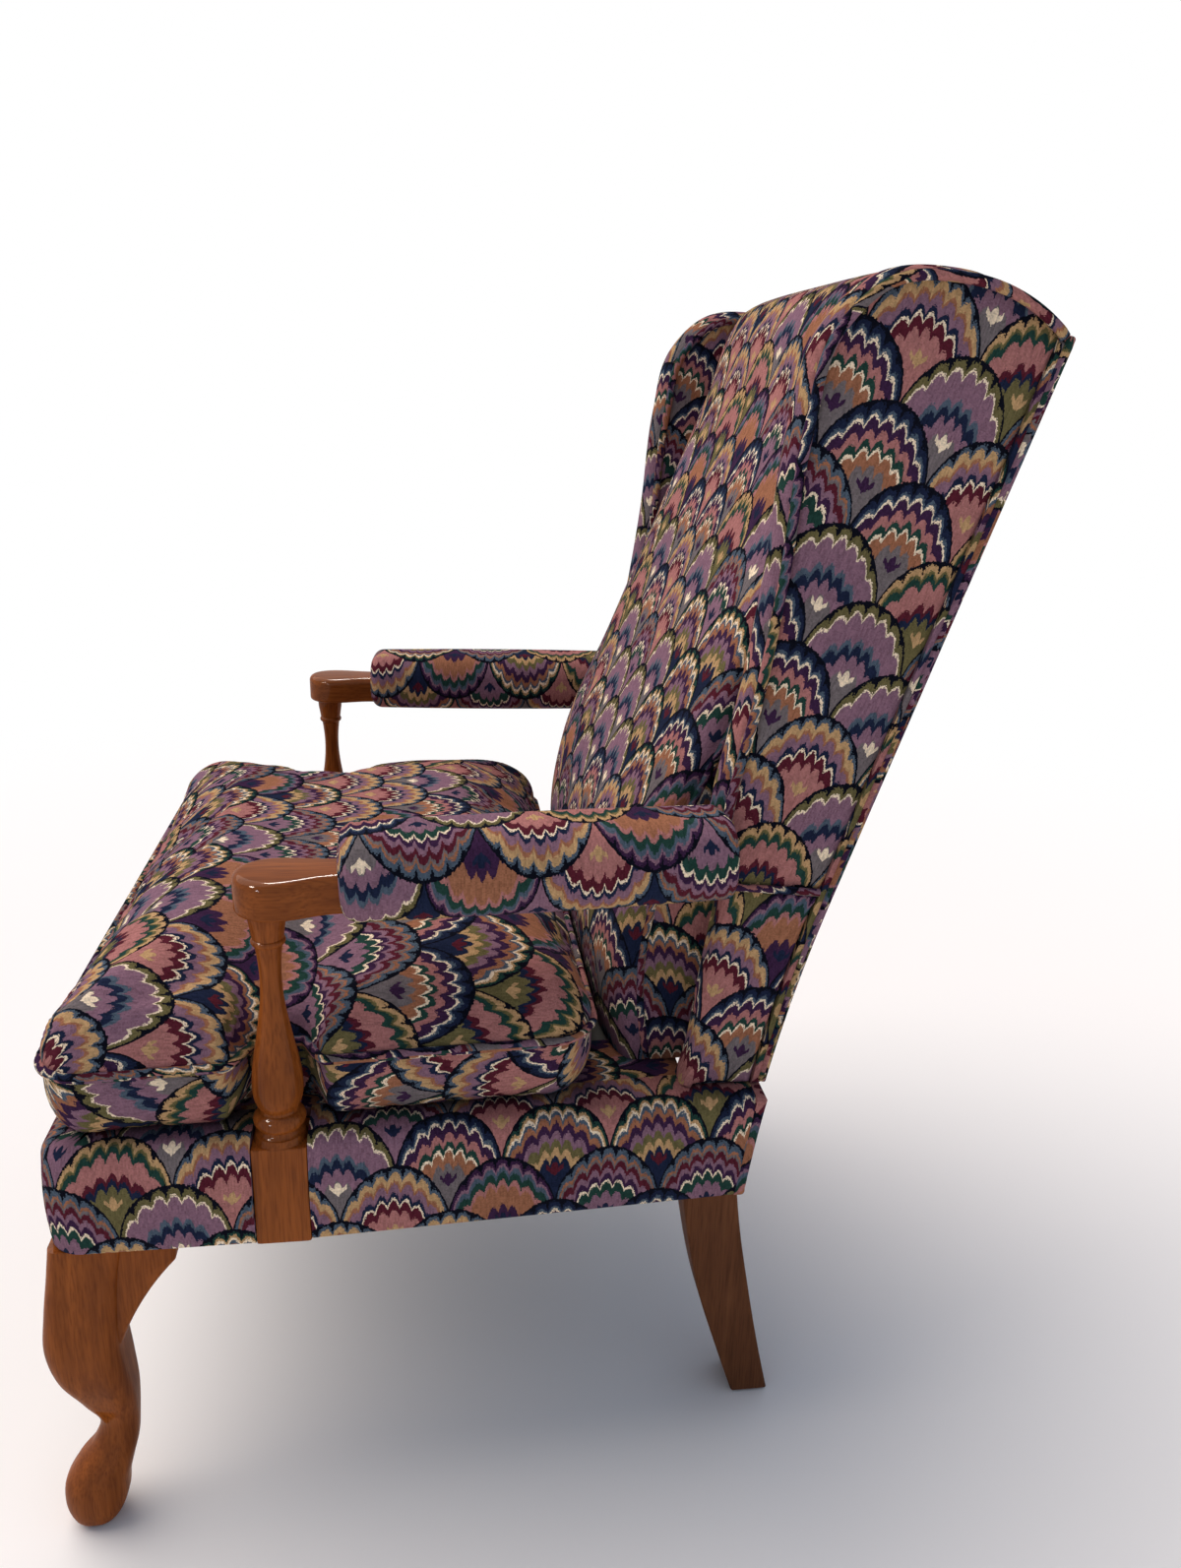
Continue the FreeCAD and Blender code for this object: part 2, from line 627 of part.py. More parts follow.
def arm_pad():
    """Stuffed pad wrapped round the arm: a rounded oblong section, rounded off at both ends."""
    slant = 1 / math.cos(math.radians(ARM_TURN_IN))
    front, rear = (PAD_FRONT - POST_Y) * slant, (PAD_REAR - POST_Y) * slant
    rows = [(front + PAD_END_ROUND * (share - PAD_FRONT_SHARES[0]), share) for share in PAD_FRONT_SHARES]
    rows += [(rear - PAD_END_ROUND * (share - PAD_REAR_SHARES[-1]), share) for share in PAD_REAR_SHARES]
    sections = []
    for y, share in rows:
        inset = PAD_END_ROUND * (1 - math.sqrt(1 - (1 - share) ** 2))
        half, low, high = PAD_HALF - inset, PAD_BOTTOM + inset, PAD_TOP - inset
        corners = [(half, low), (half, high), (-half, high), (-half, low)]
        section = rounded_outline(corners, [PAD_ROUND - inset] * 4, 0)
        section.rotate(Vector(0, 0, 0), ACROSS, 90)
        section.translate(Vector(0, y, 0))
        sections.append(section)
    pad = loft(sections, ruled=True)
    pad.rotate(Vector(0, 0, 0), UP, ARM_TURN_IN)
    pad.translate(Vector(POST_X, POST_Y, 0))
    wing_room = wing_pad()
    wing_room.translate(Vector(0, -SEAT_GAP, 0))
    return pad.cut(arm_blank()).cut(wing_room)


# Back and wings

def back_post():
    return raked_panel(
        POST_REAR_INSET, POST_FRONT_INSET, LEG_HEIGHT, BACK_POST_TOP,
        BACK_POST_INNER, BACK_POST_INNER + BACK_POST_WIDTH)


def back_rail(low, high):
    """Cross rail between the two back posts."""
    return raked_panel(POST_REAR_INSET, POST_FRONT_INSET, low, high, -BACK_POST_INNER, BACK_POST_INNER)


def back_straps():
    """Webbing straps across the front of the back posts."""
    half = BACK_POST_INNER + STRAP_BEARING
    lows = [STRAP_FIRST + i * STRAP_SPACING for i in range(STRAP_COUNT)]
    rear_inset = POST_FRONT_INSET + SEAT_GAP
    return [raked_panel(rear_inset, STRAP_FRONT_INSET, z, z + STRAP_HEIGHT, -half, half) for z in lows]


def back_panel():
    return raked_panel(0, BACK_PANEL_THICK, SEAT_TOP + SEAT_GAP, BACK_PANEL_TOP, -BACK_PANEL_HALF, BACK_PANEL_HALF)


def rear_rail_cover():
    return raked_panel(0, BACK_PANEL_THICK, LEG_HEIGHT, SEAT_TOP, -SEAT_HALF_REAR, SEAT_HALF_REAR)


def wing_outline(x, swell):
    """Side view of the wing above the arm at one distance out, its front and top swollen by an amount."""
    points = [Vector(x, y + swell * side, z + swell * up) for y, z, side, up in WING_ROWS]
    rear_inset = BACK_PANEL_THICK + SEAT_GAP
    rear_top = Vector(x, rear_y(WING_REAR_TOP) - rear_inset, WING_REAR_TOP)
    rear_foot = Vector(x, rear_y(WING_SEAM_REAR) - rear_inset, WING_SEAM_REAR)
    shoulder = (points[8] + rear_top) / 2 + Vector(0, WING_REAR_BULGE, WING_REAR_BULGE)
    return Part.Wire([
        arc(*points[0:3]), arc(*points[2:5]), arc(*points[4:7]), arc(*points[6:9]),
        arc(points[8], shoulder, rear_top), line(rear_top, rear_foot), line(rear_foot, points[0])])


def wing_slab(swell, inner, outer):
    return Part.Face(wing_outline(inner, swell)).extrude(ACROSS * (outer - inner))


def wing_frame():
    """Front stile from the seat rail to the top of the wing, and the curved top rail of the wing."""
    outer = WING_OUTER - WING_PANEL_THICK - SEAT_GAP
    whole = wing_slab(-WING_FRAME_INSET, WING_FRAME_INNER, outer)
    hollow = wing_slab(-WING_FRAME_INSET - WING_FRAME_WIDTH, WING_FRAME_INNER - OVERRUN, outer + OVERRUN)
    rear_room = raked_panel(
        -BACK_PANEL_THICK, POST_FRONT_INSET - BACK_POST_DEPTH, WING_SEAM_REAR - WING_FRAME_WIDTH,
        BACK_POST_TOP - WING_FRAME_WIDTH, WING_FRAME_INNER - OVERRUN, outer + OVERRUN)
    frame = max(whole.cut(hollow).cut(rear_room).Solids, key=lambda solid: solid.Volume)
    stile_top = WING_SEAM_FRONT + STILE_LAP
    stile = box((WING_FRAME_INNER, outer), (STILE_FRONT, STILE_REAR), (SEAT_TOP, stile_top))
    behind = raked_panel(
        -BACK_POST_DEPTH, BACK_PANEL_THICK + SEAT_GAP, SEAT_TOP, stile_top,
        WING_FRAME_INNER - OVERRUN, outer + OVERRUN)
    return frame.fuse(stile.cut(behind)).cut(arm_bolt()).removeSplitter()


def wing_panel():
    """Covered outer face of the wing above the arm."""
    return wing_slab(0, WING_OUTER - WING_PANEL_THICK, WING_OUTER).cut(arm_blank())


def wing_pad():
    """Stuffed inner face and rolled front band of the wing, with a deep rebate for its frame."""
    outer = WING_OUTER - WING_PANEL_THICK - SEAT_GAP
    half = (outer - WING_INNER) / 2
    rows = []
    for i in range(WING_BAND_STEPS + 1):
        turn = math.pi * i / WING_BAND_STEPS
        swell = WING_BAND_SWELL * math.sin(turn) - WING_BAND_FALL * i / WING_BAND_STEPS
        rows.append(wing_outline(outer - half * (1 - math.cos(turn)), swell))
    pad = loft(rows, ruled=True)
    post_room = raked_panel(
        BACK_PANEL_THICK - OVERRUN, STRAP_FRONT_INSET + SEAT_GAP,
        LEG_HEIGHT, BACK_POST_TOP + SEAT_GAP, 0, BACK_POST_INNER + BACK_POST_WIDTH + SEAT_GAP)
    frame_room = wing_slab(2 * SEAT_GAP - WING_FRAME_INSET, WING_FRAME_INNER - SEAT_GAP, outer + OVERRUN)
    foot_room = box(
        (WING_FRAME_INNER - SEAT_GAP, outer + OVERRUN), (STILE_FRONT - SEAT_GAP, rear_y(WING_SEAM_FRONT)),
        (SEAT_TOP, WING_SEAM_FRONT + STILE_LAP))
    return pad.cut(frame_room).cut(foot_room).cut(post_room).cut(arm_blank())


def side_panel():
    """Stuffed closed side between the arm and the seat rail, behind the open part of the arm."""
    low, high = SEAT_TOP + SEAT_GAP, WING_SEAM_REAR - SEAT_GAP
    rear = rear_edges(BACK_PANEL_THICK + SEAT_GAP, low, high)
    front_top = side_point(WING_ROWS[0][0], WING_SEAM_FRONT - SEAT_GAP)
    shoulder, middle = side_point(*SIDE_PANEL_FRONT_TOP), side_point(*SIDE_PANEL_FRONT_MIDDLE)
    foot = side_point(SIDE_PANEL_FRONT_FOOT, low)
    edges = rear + [
        line(rear[-1].Vertexes[-1].Point, front_top), line(front_top, shoulder),
        arc(shoulder, middle, foot), line(foot, rear[0].Vertexes[0].Point)]
    panel = side_prism(edges, SIDE_PANEL_INNER, WING_OUTER)
    front_edges = [e for e in panel.Edges
                   if e.BoundBox.YMax < shoulder.y + OVERRUN and e.BoundBox.ZLength > shoulder.z - middle.z]
    panel = panel.makeFillet(SIDE_PANEL_ROUND, front_edges)
    return panel.cut(wing_frame()).cut(arm_blank())


def back_cushion_section(x, draw_in, drop):
    """Side view of the back cushion at one distance across: lumbar swell, straight face, crest roll."""
    low, over = SEAT_TOP + SEAT_GAP, BACK_POST_TOP + SEAT_GAP

    def place(y, z, draw_share, drop_share):
        return Vector(x, y + draw_in * draw_share, z - drop * drop_share)

    foot, lumbar = place(CUSHION_FOOT_Y, low, 1.0, 0.0), place(*CUSHION_LUMBAR)
    waist, shoulder = place(*CUSHION_WAIST), place(*CUSHION_SHOULDER)
    crest_front, crest = place(*CUSHION_CREST_FRONT), place(*CUSHION_CREST)
    crest_rear = place(*CUSHION_CREST_REAR)
    nape = Vector(x, rear_y(CUSHION_NAPE_Z) - BACK_PANEL_THICK - SEAT_GAP, CUSHION_NAPE_Z)
    heel = Vector(x, rear_y(over) - BACK_PANEL_THICK - SEAT_GAP, over)
    rear = rear_edges(STRAP_FRONT_INSET + SEAT_GAP, low, over, x)
    return Part.Wire([
        arc(foot, lumbar, waist), line(waist, shoulder), arc(shoulder, crest_front, crest),
        arc(crest, crest_rear, nape), line(nape, heel), line(heel, rear[-1].Vertexes[-1].Point),
        rear[1], rear[0], line(rear[0].Vertexes[0].Point, foot)])


def back_cushion():
    """Crowned back: its front draws in and its top drops towards the ends along a full curve."""
    sections = []
    for i in range(-CUSHION_STEPS, CUSHION_STEPS + 1):
        turn = math.pi / 2 * i / CUSHION_STEPS
        x = CUSHION_HALF * math.copysign(abs(math.sin(turn)) ** CUSHION_FULLNESS, turn)
        fall = 1 - max(0.0, math.cos(turn)) ** CUSHION_FULLNESS
        sections.append(back_cushion_section(x, CUSHION_DRAW_IN * fall, CUSHION_DROP * fall))
    return loft(sections, ruled=True)


# Loose seat cushion

def seat_cushion_outline(height, inset):
    """Plan at one height, narrower at the back, with its corners drawn in with the inset."""
    front, rear = CUSHION_FRONT + inset, CUSHION_REAR - inset
    wide, narrow = CUSHION_HALF_FRONT - inset, CUSHION_HALF_REAR - inset
    corners = [(wide, front), (narrow, rear), (-narrow, rear), (-wide, front)]
    return rounded_outline(corners, [CUSHION_CORNER] * 4, SEAT_TOP + height)


def post_notch_in_cushion():
    """Room round the left arm post, with rounded inner corners."""
    reach = POST_BLOCK / 2 + NOTCH_CLEARANCE
    inner, outer = POST_X - reach, SEAT_HALF_FRONT + reach
    front, rear = POST_Y - reach, POST_Y + reach
    corners = [(outer, front), (outer, rear), (inner, rear), (inner, front)]
    outline = rounded_outline(corners, [NOTCH_CORNER] * 4, SEAT_TOP)
    return Part.Face(outline).extrude(UP * (CUSHION_WELT_HEIGHT + CUSHION_CROWN + NOTCH_CORNER))


def seat_cushion():
    """Crowned T cushion, fullest at its welt and drawn in above and below it along full curves."""
    rows = []
    for i in range(-CUSHION_LEVELS, CUSHION_LEVELS + 1):
        turn = math.pi / 2 * i / CUSHION_LEVELS
        rise, inset = CUSHION_CROWN, CUSHION_CROWN_INSET
        if i < 0:
            rise, inset = CUSHION_WELT_HEIGHT - SEAT_GAP, CUSHION_UNDER_INSET
        climb = math.copysign(abs(math.sin(turn)) ** CROWN_FULLNESS, turn)
        fall = 1 - max(0.0, math.cos(turn)) ** CROWN_FULLNESS
        rows.append(seat_cushion_outline(CUSHION_WELT_HEIGHT + rise * climb, inset * fall))
    notch = post_notch_in_cushion()
    return loft(rows, ruled=True).cut(notch).cut(mirrored(notch))


# Every piece under its own name

def write(name, *shapes):
    solids = [solid for shape in shapes for solid in shape.Solids]
    if not all(solid.isValid() for solid in solids):
        raise ValueError(name + " is not sound")
    whole = solids[0] if len(solids) == 1 else Part.makeCompound(solids)
    whole.exportStep("parts/" + name + ".step")


def write_pair(name, shape):
    write(name + "_left", shape)
    write(name + "_right", mirrored(shape))


def write_all():
    os.makedirs("parts", exist_ok=True)
    write("front_seat_rail", front_seat_rail())
    write_pair("side_seat_rail", side_seat_rail())
    write("rear_seat_rail", rear_seat_rail())
    write("corner_blocks", *corner_blocks())
    write("front_rail_cover", front_rail_cover())
    write_pair("side_rail_cover", side_rail_cover())
    write("rear_rail_cover", rear_rail_cover())
    write("seat_webbing", *webs_across(), *webs_along())
    write("seat_deck", seat_deck())
    write("dust_cover", dust_cover())
    write_pair("front_leg", front_leg())
    write_pair("rear_leg", rear_leg())
    write("leg_bolts", leg_bolt(), mirrored(leg_bolt()))
    write("glides", *glides())
    write("post_screws", post_screw(), mirrored(post_screw()))
    write_pair("arm_post", arm_post())
    write_pair("arm", arm())
    write("arm_bolts", arm_bolt(), mirrored(arm_bolt()))
    write_pair("arm_pad", arm_pad())
    write_pair("back_post", back_post())
    write("crest_rail", back_rail(BACK_POST_TOP - CREST_RAIL_HEIGHT, BACK_POST_TOP))
    write("lower_back_rail", back_rail(SEAT_TOP + LOWER_BACK_RAIL[0], SEAT_TOP + LOWER_BACK_RAIL[1]))
    write("back_straps", *back_straps())
    write("back_panel", back_panel())
    write_pair("wing_frame", wing_frame())
    write_pair("wing_panel", wing_panel())
    write_pair("wing_pad", wing_pad())
    write_pair("side_panel", side_panel())
    write("back_cushion", back_cushion())
    write("seat_cushion", seat_cushion())


write_all()
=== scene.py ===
import math

import bmesh
import bpy
import numpy as np
from bpy.props import FloatProperty, FloatVectorProperty, PointerProperty
from mathutils import Matrix, Vector


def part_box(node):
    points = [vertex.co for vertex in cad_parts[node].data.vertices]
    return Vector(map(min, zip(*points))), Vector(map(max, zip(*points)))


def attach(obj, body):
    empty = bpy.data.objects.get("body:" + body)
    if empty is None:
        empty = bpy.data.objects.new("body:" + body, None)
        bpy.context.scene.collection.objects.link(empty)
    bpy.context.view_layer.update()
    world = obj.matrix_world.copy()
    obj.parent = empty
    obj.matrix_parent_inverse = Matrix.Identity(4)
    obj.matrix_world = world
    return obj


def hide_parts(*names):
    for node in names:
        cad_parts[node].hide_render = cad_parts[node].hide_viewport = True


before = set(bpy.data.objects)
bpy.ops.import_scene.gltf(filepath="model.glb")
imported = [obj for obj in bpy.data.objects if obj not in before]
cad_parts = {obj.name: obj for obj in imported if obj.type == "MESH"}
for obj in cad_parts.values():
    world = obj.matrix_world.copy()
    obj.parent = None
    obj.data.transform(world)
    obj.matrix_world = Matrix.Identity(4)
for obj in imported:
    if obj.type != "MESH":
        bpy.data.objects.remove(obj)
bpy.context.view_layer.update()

bl_info = {
    "name": "Wing chair with open arms",
    "version": (1, 0, 0),
    "blender": (4, 5, 0),
    "location": "3D View > Sidebar > Wing chair",
    "description": "Flame-stitch covers, welts, polished arms, posts and legs of a wing chair",
    "category": "Add Mesh",
}

# Metres throughout, +Z up, the chair faces -Y, and +X is the sitter's left.
# A cover is built on +X first; its twin is the mirror image.

MM = 0.001

# Edges of neighbouring covers stay this far apart
GAP = 0.0003

SIDES = ("left", "right")

# Seat
SEAT_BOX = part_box("seat_cushion")
DECK_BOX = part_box("seat_deck")
DUST_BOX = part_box("dust_cover")
RAIL_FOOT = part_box("front_rail_cover")[0].z
SEAT_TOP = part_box("front_rail_cover")[1].z
SEAT_FRONT = -0.390
SEAT_HALF_FRONT = 0.355
SEAT_HALF_REAR = 0.333
SEAT_REAR = 0.194
SEAT_CORNER = 0.030
RAIL_LIP = 0.016
RAIL_INNER = 0.052
RAIL_PADDING = 0.020
RAIL_ROLL = 0.013

# Arm posts and arms
POST_X = 0.3328
POST_Y = -0.201
POST_HALF = 0.0222
ARM_BOTTOM = 0.5805
ARM_TOP = 0.612
ARM_TURN_IN = math.radians(3.807)
PAD_FRONT = -0.145
PAD_REAR = 0.1637

# Back and wings
BACK_BEND = (0.258, 0.567)
BACK_RAKE = 0.335
BACK_HALF = 0.309
BACK_TOP = 1.006
BACK_THICK = 0.010
WING_OUTER = 0.309
WING_INNER = 0.259
WING_SEAM_REAR = 0.567
CUSHION_REAR_INSET = 0.0529


def linear(text):
    """Turns an sRGB hex value into linear red, green, blue and alpha."""
    values = [int(text[i:i + 2], 16) / 255 for i in (1, 3, 5)]
    curved = [v / 12.92 if v <= 0.04045 else ((v + 0.055) / 1.055) ** 2.4 for v in values]
    return (*curved, 1.0)


# Sizes and colours that a user would change

class ClothSettings(bpy.types.PropertyGroup):
    fan_width: FloatProperty(
        name="Fan width", description="Width of one flame-stitch fan", default=0.0895,
        unit="LENGTH")
    fan_height: FloatProperty(
        name="Fan height", description="Height from one row of fans to the next", default=0.0475,
        unit="LENGTH")
    stitch: FloatProperty(
        name="Stitch column", description="Width of one column of stitches", default=0.00125,
        unit="LENGTH")
    welt_radius: FloatProperty(
        name="Welt radius", description="Radius of the covered cord along the seams",
        default=0.0042, unit="LENGTH")


class CushionSettings(bpy.types.PropertyGroup):
    welt_height: FloatProperty(
        name="Welt height", description="Height of the seat cushion's seam above the deck",
        default=0.062, unit="LENGTH")
    crown: FloatProperty(
        name="Crown", description="Rise of the seat cushion above its seam", default=0.068,
        unit="LENGTH")
    wing_swell: FloatProperty(
        name="Wing swell", description="How far the padded band of the wing stands out",
        default=0.013, unit="LENGTH")


class WoodSettings(bpy.types.PropertyGroup):
    stain: FloatVectorProperty(
        name="Stain", description="Colour of the polished arms, posts and front legs",
        subtype="COLOR", size=4, default=linear("#a25a26"), min=0.0, max=1.0)
    arm_round: FloatProperty(
        name="Arm edge", description="Radius of the arm's upper edge", default=0.007, unit="LENGTH")


class StageSettings(bpy.types.PropertyGroup):
    floor: FloatVectorProperty(
        name="Floor", description="Colour of the floor", subtype="COLOR", size=4,
        default=linear("#f7f7f5"), min=0.0, max=1.0)
    lens: FloatProperty(
        name="Lens", description="Focal length of the camera", default=27.6, unit="CAMERA")


# Numbers on grids

def smooth_run(points, count):
    """Curve through the points: a cubic between neighbours, whose slope at each point weighs the
    two spans beside it by the other's length. The samples are evenly spaced along the chords."""
    points = np.asarray(points, float)
    step = np.diff(points, axis=0)
    span = np.linalg.norm(step, axis=1)
    chord = step / span[:, None]
    slope = np.empty_like(points)
    near, far = span[:-1, None], span[1:, None]
    slope[1:-1] = (chord[1:] * near + chord[:-1] * far) / (near + far)
    slope[0] = 2 * chord[0] - slope[1] if len(points) > 2 else chord[0]
    slope[-1] = 2 * chord[-1] - slope[-2] if len(points) > 2 else chord[-1]
    along = np.concatenate([[0], np.cumsum(span)])
    target = np.linspace(0, along[-1], count)
    start = np.clip(np.searchsorted(along, target, side="right") - 1, 0, len(span) - 1)
    length = span[start][:, None]
    t = (target - along[start])[:, None] / length
    return ((2 * t ** 3 - 3 * t ** 2 + 1) * points[start]
            + (t ** 3 - 2 * t ** 2 + t) * length * slope[start]
            + (3 * t ** 2 - 2 * t ** 3) * points[start + 1]
            + (t ** 3 - t ** 2) * length * slope[start + 1])


def lengths(path):
    """Distance walked along a path, from 0 at its first point."""
    return np.concatenate([[0], np.cumsum(np.linalg.norm(np.diff(path, axis=0), axis=1))])


def evened(path, count):
    """The same path with its points equally far apart."""
    along = lengths(path)
    target = np.linspace(0, along[-1], count)
    return np.stack([np.interp(target, along, path[:, k]) for k in range(path.shape[1])], axis=1)


def closed_loop(path, count):
    """A closed path of equally spaced points, the first repeated at the end."""
    return evened(np.vstack([path, path[:1]]), count)


def outward_of(loop):
    """Unit vectors out of a closed plane loop, square to the line through its neighbours."""
    ahead = np.roll(loop[:-1], -1, axis=0) - np.roll(loop[:-1], 1, axis=0)
    side = np.stack([ahead[:, 1], -ahead[:, 0]], axis=1)
    side /= np.linalg.norm(side, axis=1)[:, None]
    area = np.sum(loop[:-1, 0] * loop[1:, 1] - loop[1:, 0] * loop[:-1, 1])
    side *= 1 if area > 0 else -1
    return np.vstack([side, side[:1]])


def distance_to(points, path):
    """Shortest distance from each point to the straight pieces of a plane path."""
    start, ahead = path[:-1], np.diff(path, axis=0)
    size = np.maximum(np.sum(ahead ** 2, axis=1), 1e-12)
    from_start = points[..., None, :] - start
    share = np.clip(np.sum(from_start * ahead, axis=-1) / size, 0, 1)
    return np.linalg.norm(from_start - share[..., None] * ahead, axis=-1).min(axis=-1)


def net_lengths(points, axis):
    """Distance walked over a grid along one of its directions, from 0 at its first line."""
    step = np.linalg.norm(np.diff(points, axis=axis), axis=2)
    start = np.zeros_like(np.take(step, [0], axis=axis))
    return np.concatenate([start, np.cumsum(step, axis=axis)], axis=axis)


def wrapped_cloth(points, middle_row, middle_column):
    """Cloth laid without stretch: across and up are distances walked from a middle point."""
    across = net_lengths(points, 1)
    up = net_lengths(points, 0)
    return np.stack([across - across[:, [middle_column]], up - up[[middle_row]]], axis=2)


def lerp(start, end, share):
    return start + (end - start) * share


# Meshes

def link(name, mesh, body, material, replaced=()):
    obj = bpy.data.objects.new(name, mesh)
    bpy.context.scene.collection.objects.link(obj)
    mesh.materials.append(material)
    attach(obj, body)
    if replaced:
        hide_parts(*replaced)
    return obj


def mesh_of(name, grids, sharp=40):
    """Mesh of grids of points, each with its own cloth coordinates, sewn where they meet."""
    points = np.vstack([grid.reshape(-1, 3) for grid, _ in grids])
    cloth = np.vstack([uv.reshape(-1, 2) for _, uv in grids])
    faces, base = [], 0
    for grid, _ in grids:
        rows, columns = grid.shape[:2]
        row, column = np.meshgrid(np.arange(rows - 1), np.arange(columns - 1), indexing="ij")
        corner = base + row * columns + column
        quads = np.stack([corner, corner + 1, corner + columns + 1, corner + columns], -1)
        faces.append(quads.reshape(-1, 4))
        base += rows * columns
    mesh = bpy.data.meshes.new(name)
    mesh.from_pydata(points.tolist(), [], np.vstack(faces).tolist())
    layer = mesh.uv_layers.new(name="cloth")
    corners = np.empty(len(mesh.loops), np.int32)
    mesh.loops.foreach_get("vertex_index", corners)
    layer.data.foreach_set("uv", cloth[corners].ravel())
    sewn = bmesh.new()
    sewn.from_mesh(mesh)
    bmesh.ops.remove_doubles(sewn, verts=sewn.verts, dist=1e-5)
    bmesh.ops.recalc_face_normals(sewn, faces=sewn.faces)
    sewn.to_mesh(mesh)
    sewn.free()
    mesh.polygons.foreach_set("use_smooth", np.ones(len(mesh.polygons), bool))
    mesh.set_sharp_from_angle(angle=math.radians(sharp))
    return mesh


# A stuffed cover in the simulation: the air in it, the share by which its cloth is cut too large,
# the furthest that a point may move, and the frames it runs
AIR_PRESSURE = 4.0
CLOTH_SLACK = 0.015
FURTHEST_MOVE = 0.022
LAST_FRAME = 20


def stuff(mesh, held):
    """Swells a closed cover by a cloth simulation: air presses from inside, the cloth is cut a
    little too large so that it creases beside its seams, and held points stay."""
    scene = bpy.context.scene
    rest = np.empty(3 * len(mesh.vertices))
    mesh.vertices.foreach_get("co", rest)
    rest = rest.reshape(-1, 3)
    obj = bpy.data.objects.new("stuffing", mesh)
    scene.collection.objects.link(obj)
    group = obj.vertex_groups.new(name="held")
    group.add(np.flatnonzero(held(rest)).tolist(), 1.0, "REPLACE")
    modifier = obj.modifiers.new("cloth", "CLOTH")
    cloth = modifier.settings
    cloth.quality = 6
    cloth.mass = 0.3
    cloth.tension_stiffness = cloth.compression_stiffness = 20.0
    cloth.shear_stiffness = 8.0
    cloth.bending_stiffness = 1.5
    cloth.shrink_min = -CLOTH_SLACK
    cloth.use_pressure = True
    cloth.uniform_pressure_force = AIR_PRESSURE
    cloth.vertex_group_mass = "held"
    cloth.effector_weights.gravity = 0.0
    modifier.collision_settings.use_collision = False
    modifier.point_cache.frame_start, modifier.point_cache.frame_end = 1, LAST_FRAME
    for frame_number in range(1, LAST_FRAME + 1):
        scene.frame_set(frame_number)
    worn = obj.evaluated_get(bpy.context.evaluated_depsgraph_get())
    result = worn.to_mesh()
    moved = np.empty(3 * len(result.vertices))
    result.vertices.foreach_get("co", moved)
    worn.to_mesh_clear()
    scene.frame_set(1)
    bpy.data.objects.remove(obj)
    moved = moved.reshape(-1, 3) - rest
    size = np.linalg.norm(moved, axis=1, keepdims=True)
    moved *= np.minimum(1, FURTHEST_MOVE / np.maximum(size, 1e-9))
    mesh.vertices.foreach_set("co", (rest + moved).ravel())
    mesh.update()


def mirrored(grids, turned=False):
    """The same grids on the other side of the chair; turned cloth keeps pointing to +X."""
    flip = np.array([-1.0, 1.0, 1.0])
    turn = np.array([1.0, -1.0]) if turned else np.array([-1.0, 1.0])
    return [(grid * flip, uv * turn) for grid, uv in grids]


def on_side(side, grids, turned=False):
    """Grids drawn on the sitter's left, or their mirror image for the right."""
    return grids if side == "left" else mirrored(grids, turned)


CORD_FACETS = 12
# Welts are cut on the bias, so the pattern crosses the cord aslant
BIAS = (0.75, 0.85)


def tube(path, radius, reference, closed=False):
    """Cord along a path: circles square to the path, turned from a fixed reference direction."""
    ahead = np.gradient(path, axis=0)
    if closed:
        ahead[0] = ahead[-1] = path[1] - path[-2]
    ahead /= np.linalg.norm(ahead, axis=1)[:, None]
    side = np.cross(ahead, reference)
    side /= np.linalg.norm(side, axis=1)[:, None]
    over = np.cross(side, ahead)
    angle = np.linspace(0, 2 * math.pi, CORD_FACETS + 1)[None, :, None]
    grid = path[:, None] + radius * (np.cos(angle) * side[:, None] + np.sin(angle) * over[:, None])
    around, along = np.meshgrid(angle[0, :, 0] * radius, lengths(path))
    uv = np.stack([along * BIAS[0] + around, along * BIAS[1] - around], axis=2)
    grids = [(grid, uv)]
    if not closed:
        for end in (0, -1):
            cap = np.stack([grid[end], np.repeat(path[[end]], CORD_FACETS + 1, axis=0)])
            grids.append((cap, np.stack([uv[end], uv[end]])))
    return grids


def plate(loop, place, cloth, thick, roll, dome, face_rings=14):
    """Stuffed plate on a closed plane loop: a domed face, an edge rolled over a quarter circle, a
    straight side and a flat back. A point is a place in the plane and a depth, and the function
    place gives it its three axes."""
    outward = outward_of(loop)
    centre = loop[:-1].mean(axis=0)
    inner = loop - outward * roll
    share = np.linspace(0, 1, face_rings)[:, None, None]
    face = lerp(np.broadcast_to(centre, loop.shape), inner, share)
    depth = -dome * (1 - share[..., 0] ** 2) * np.ones(len(loop))
    turn = np.linspace(0, math.pi / 2, 6)[:, None, None]
    rolled = loop - outward * roll * (1 - np.sin(turn))
    rolled_depth = roll * (1 - np.cos(turn[..., 0])) * np.ones(len(loop))
    rows = np.concatenate([face, rolled[1:], loop[None]])
    depths = np.concatenate([depth, rolled_depth[1:], np.full((1, len(loop)), thick)])
    walk = np.concatenate([
        np.zeros(face_rings), roll * turn[1:, 0, 0], [roll * math.pi / 2 + thick - roll]])
    edge = np.broadcast_to(inner, (len(walk) - face_rings, *inner.shape))
    front_uv = cloth(np.concatenate([face, edge]) + outward * walk[:, None, None])
    back = lerp(np.broadcast_to(centre, loop.shape), loop, share)
    return [(place(rows, depths), front_uv),
            (place(back, np.full(back.shape[:2], thick)), cloth(back))]


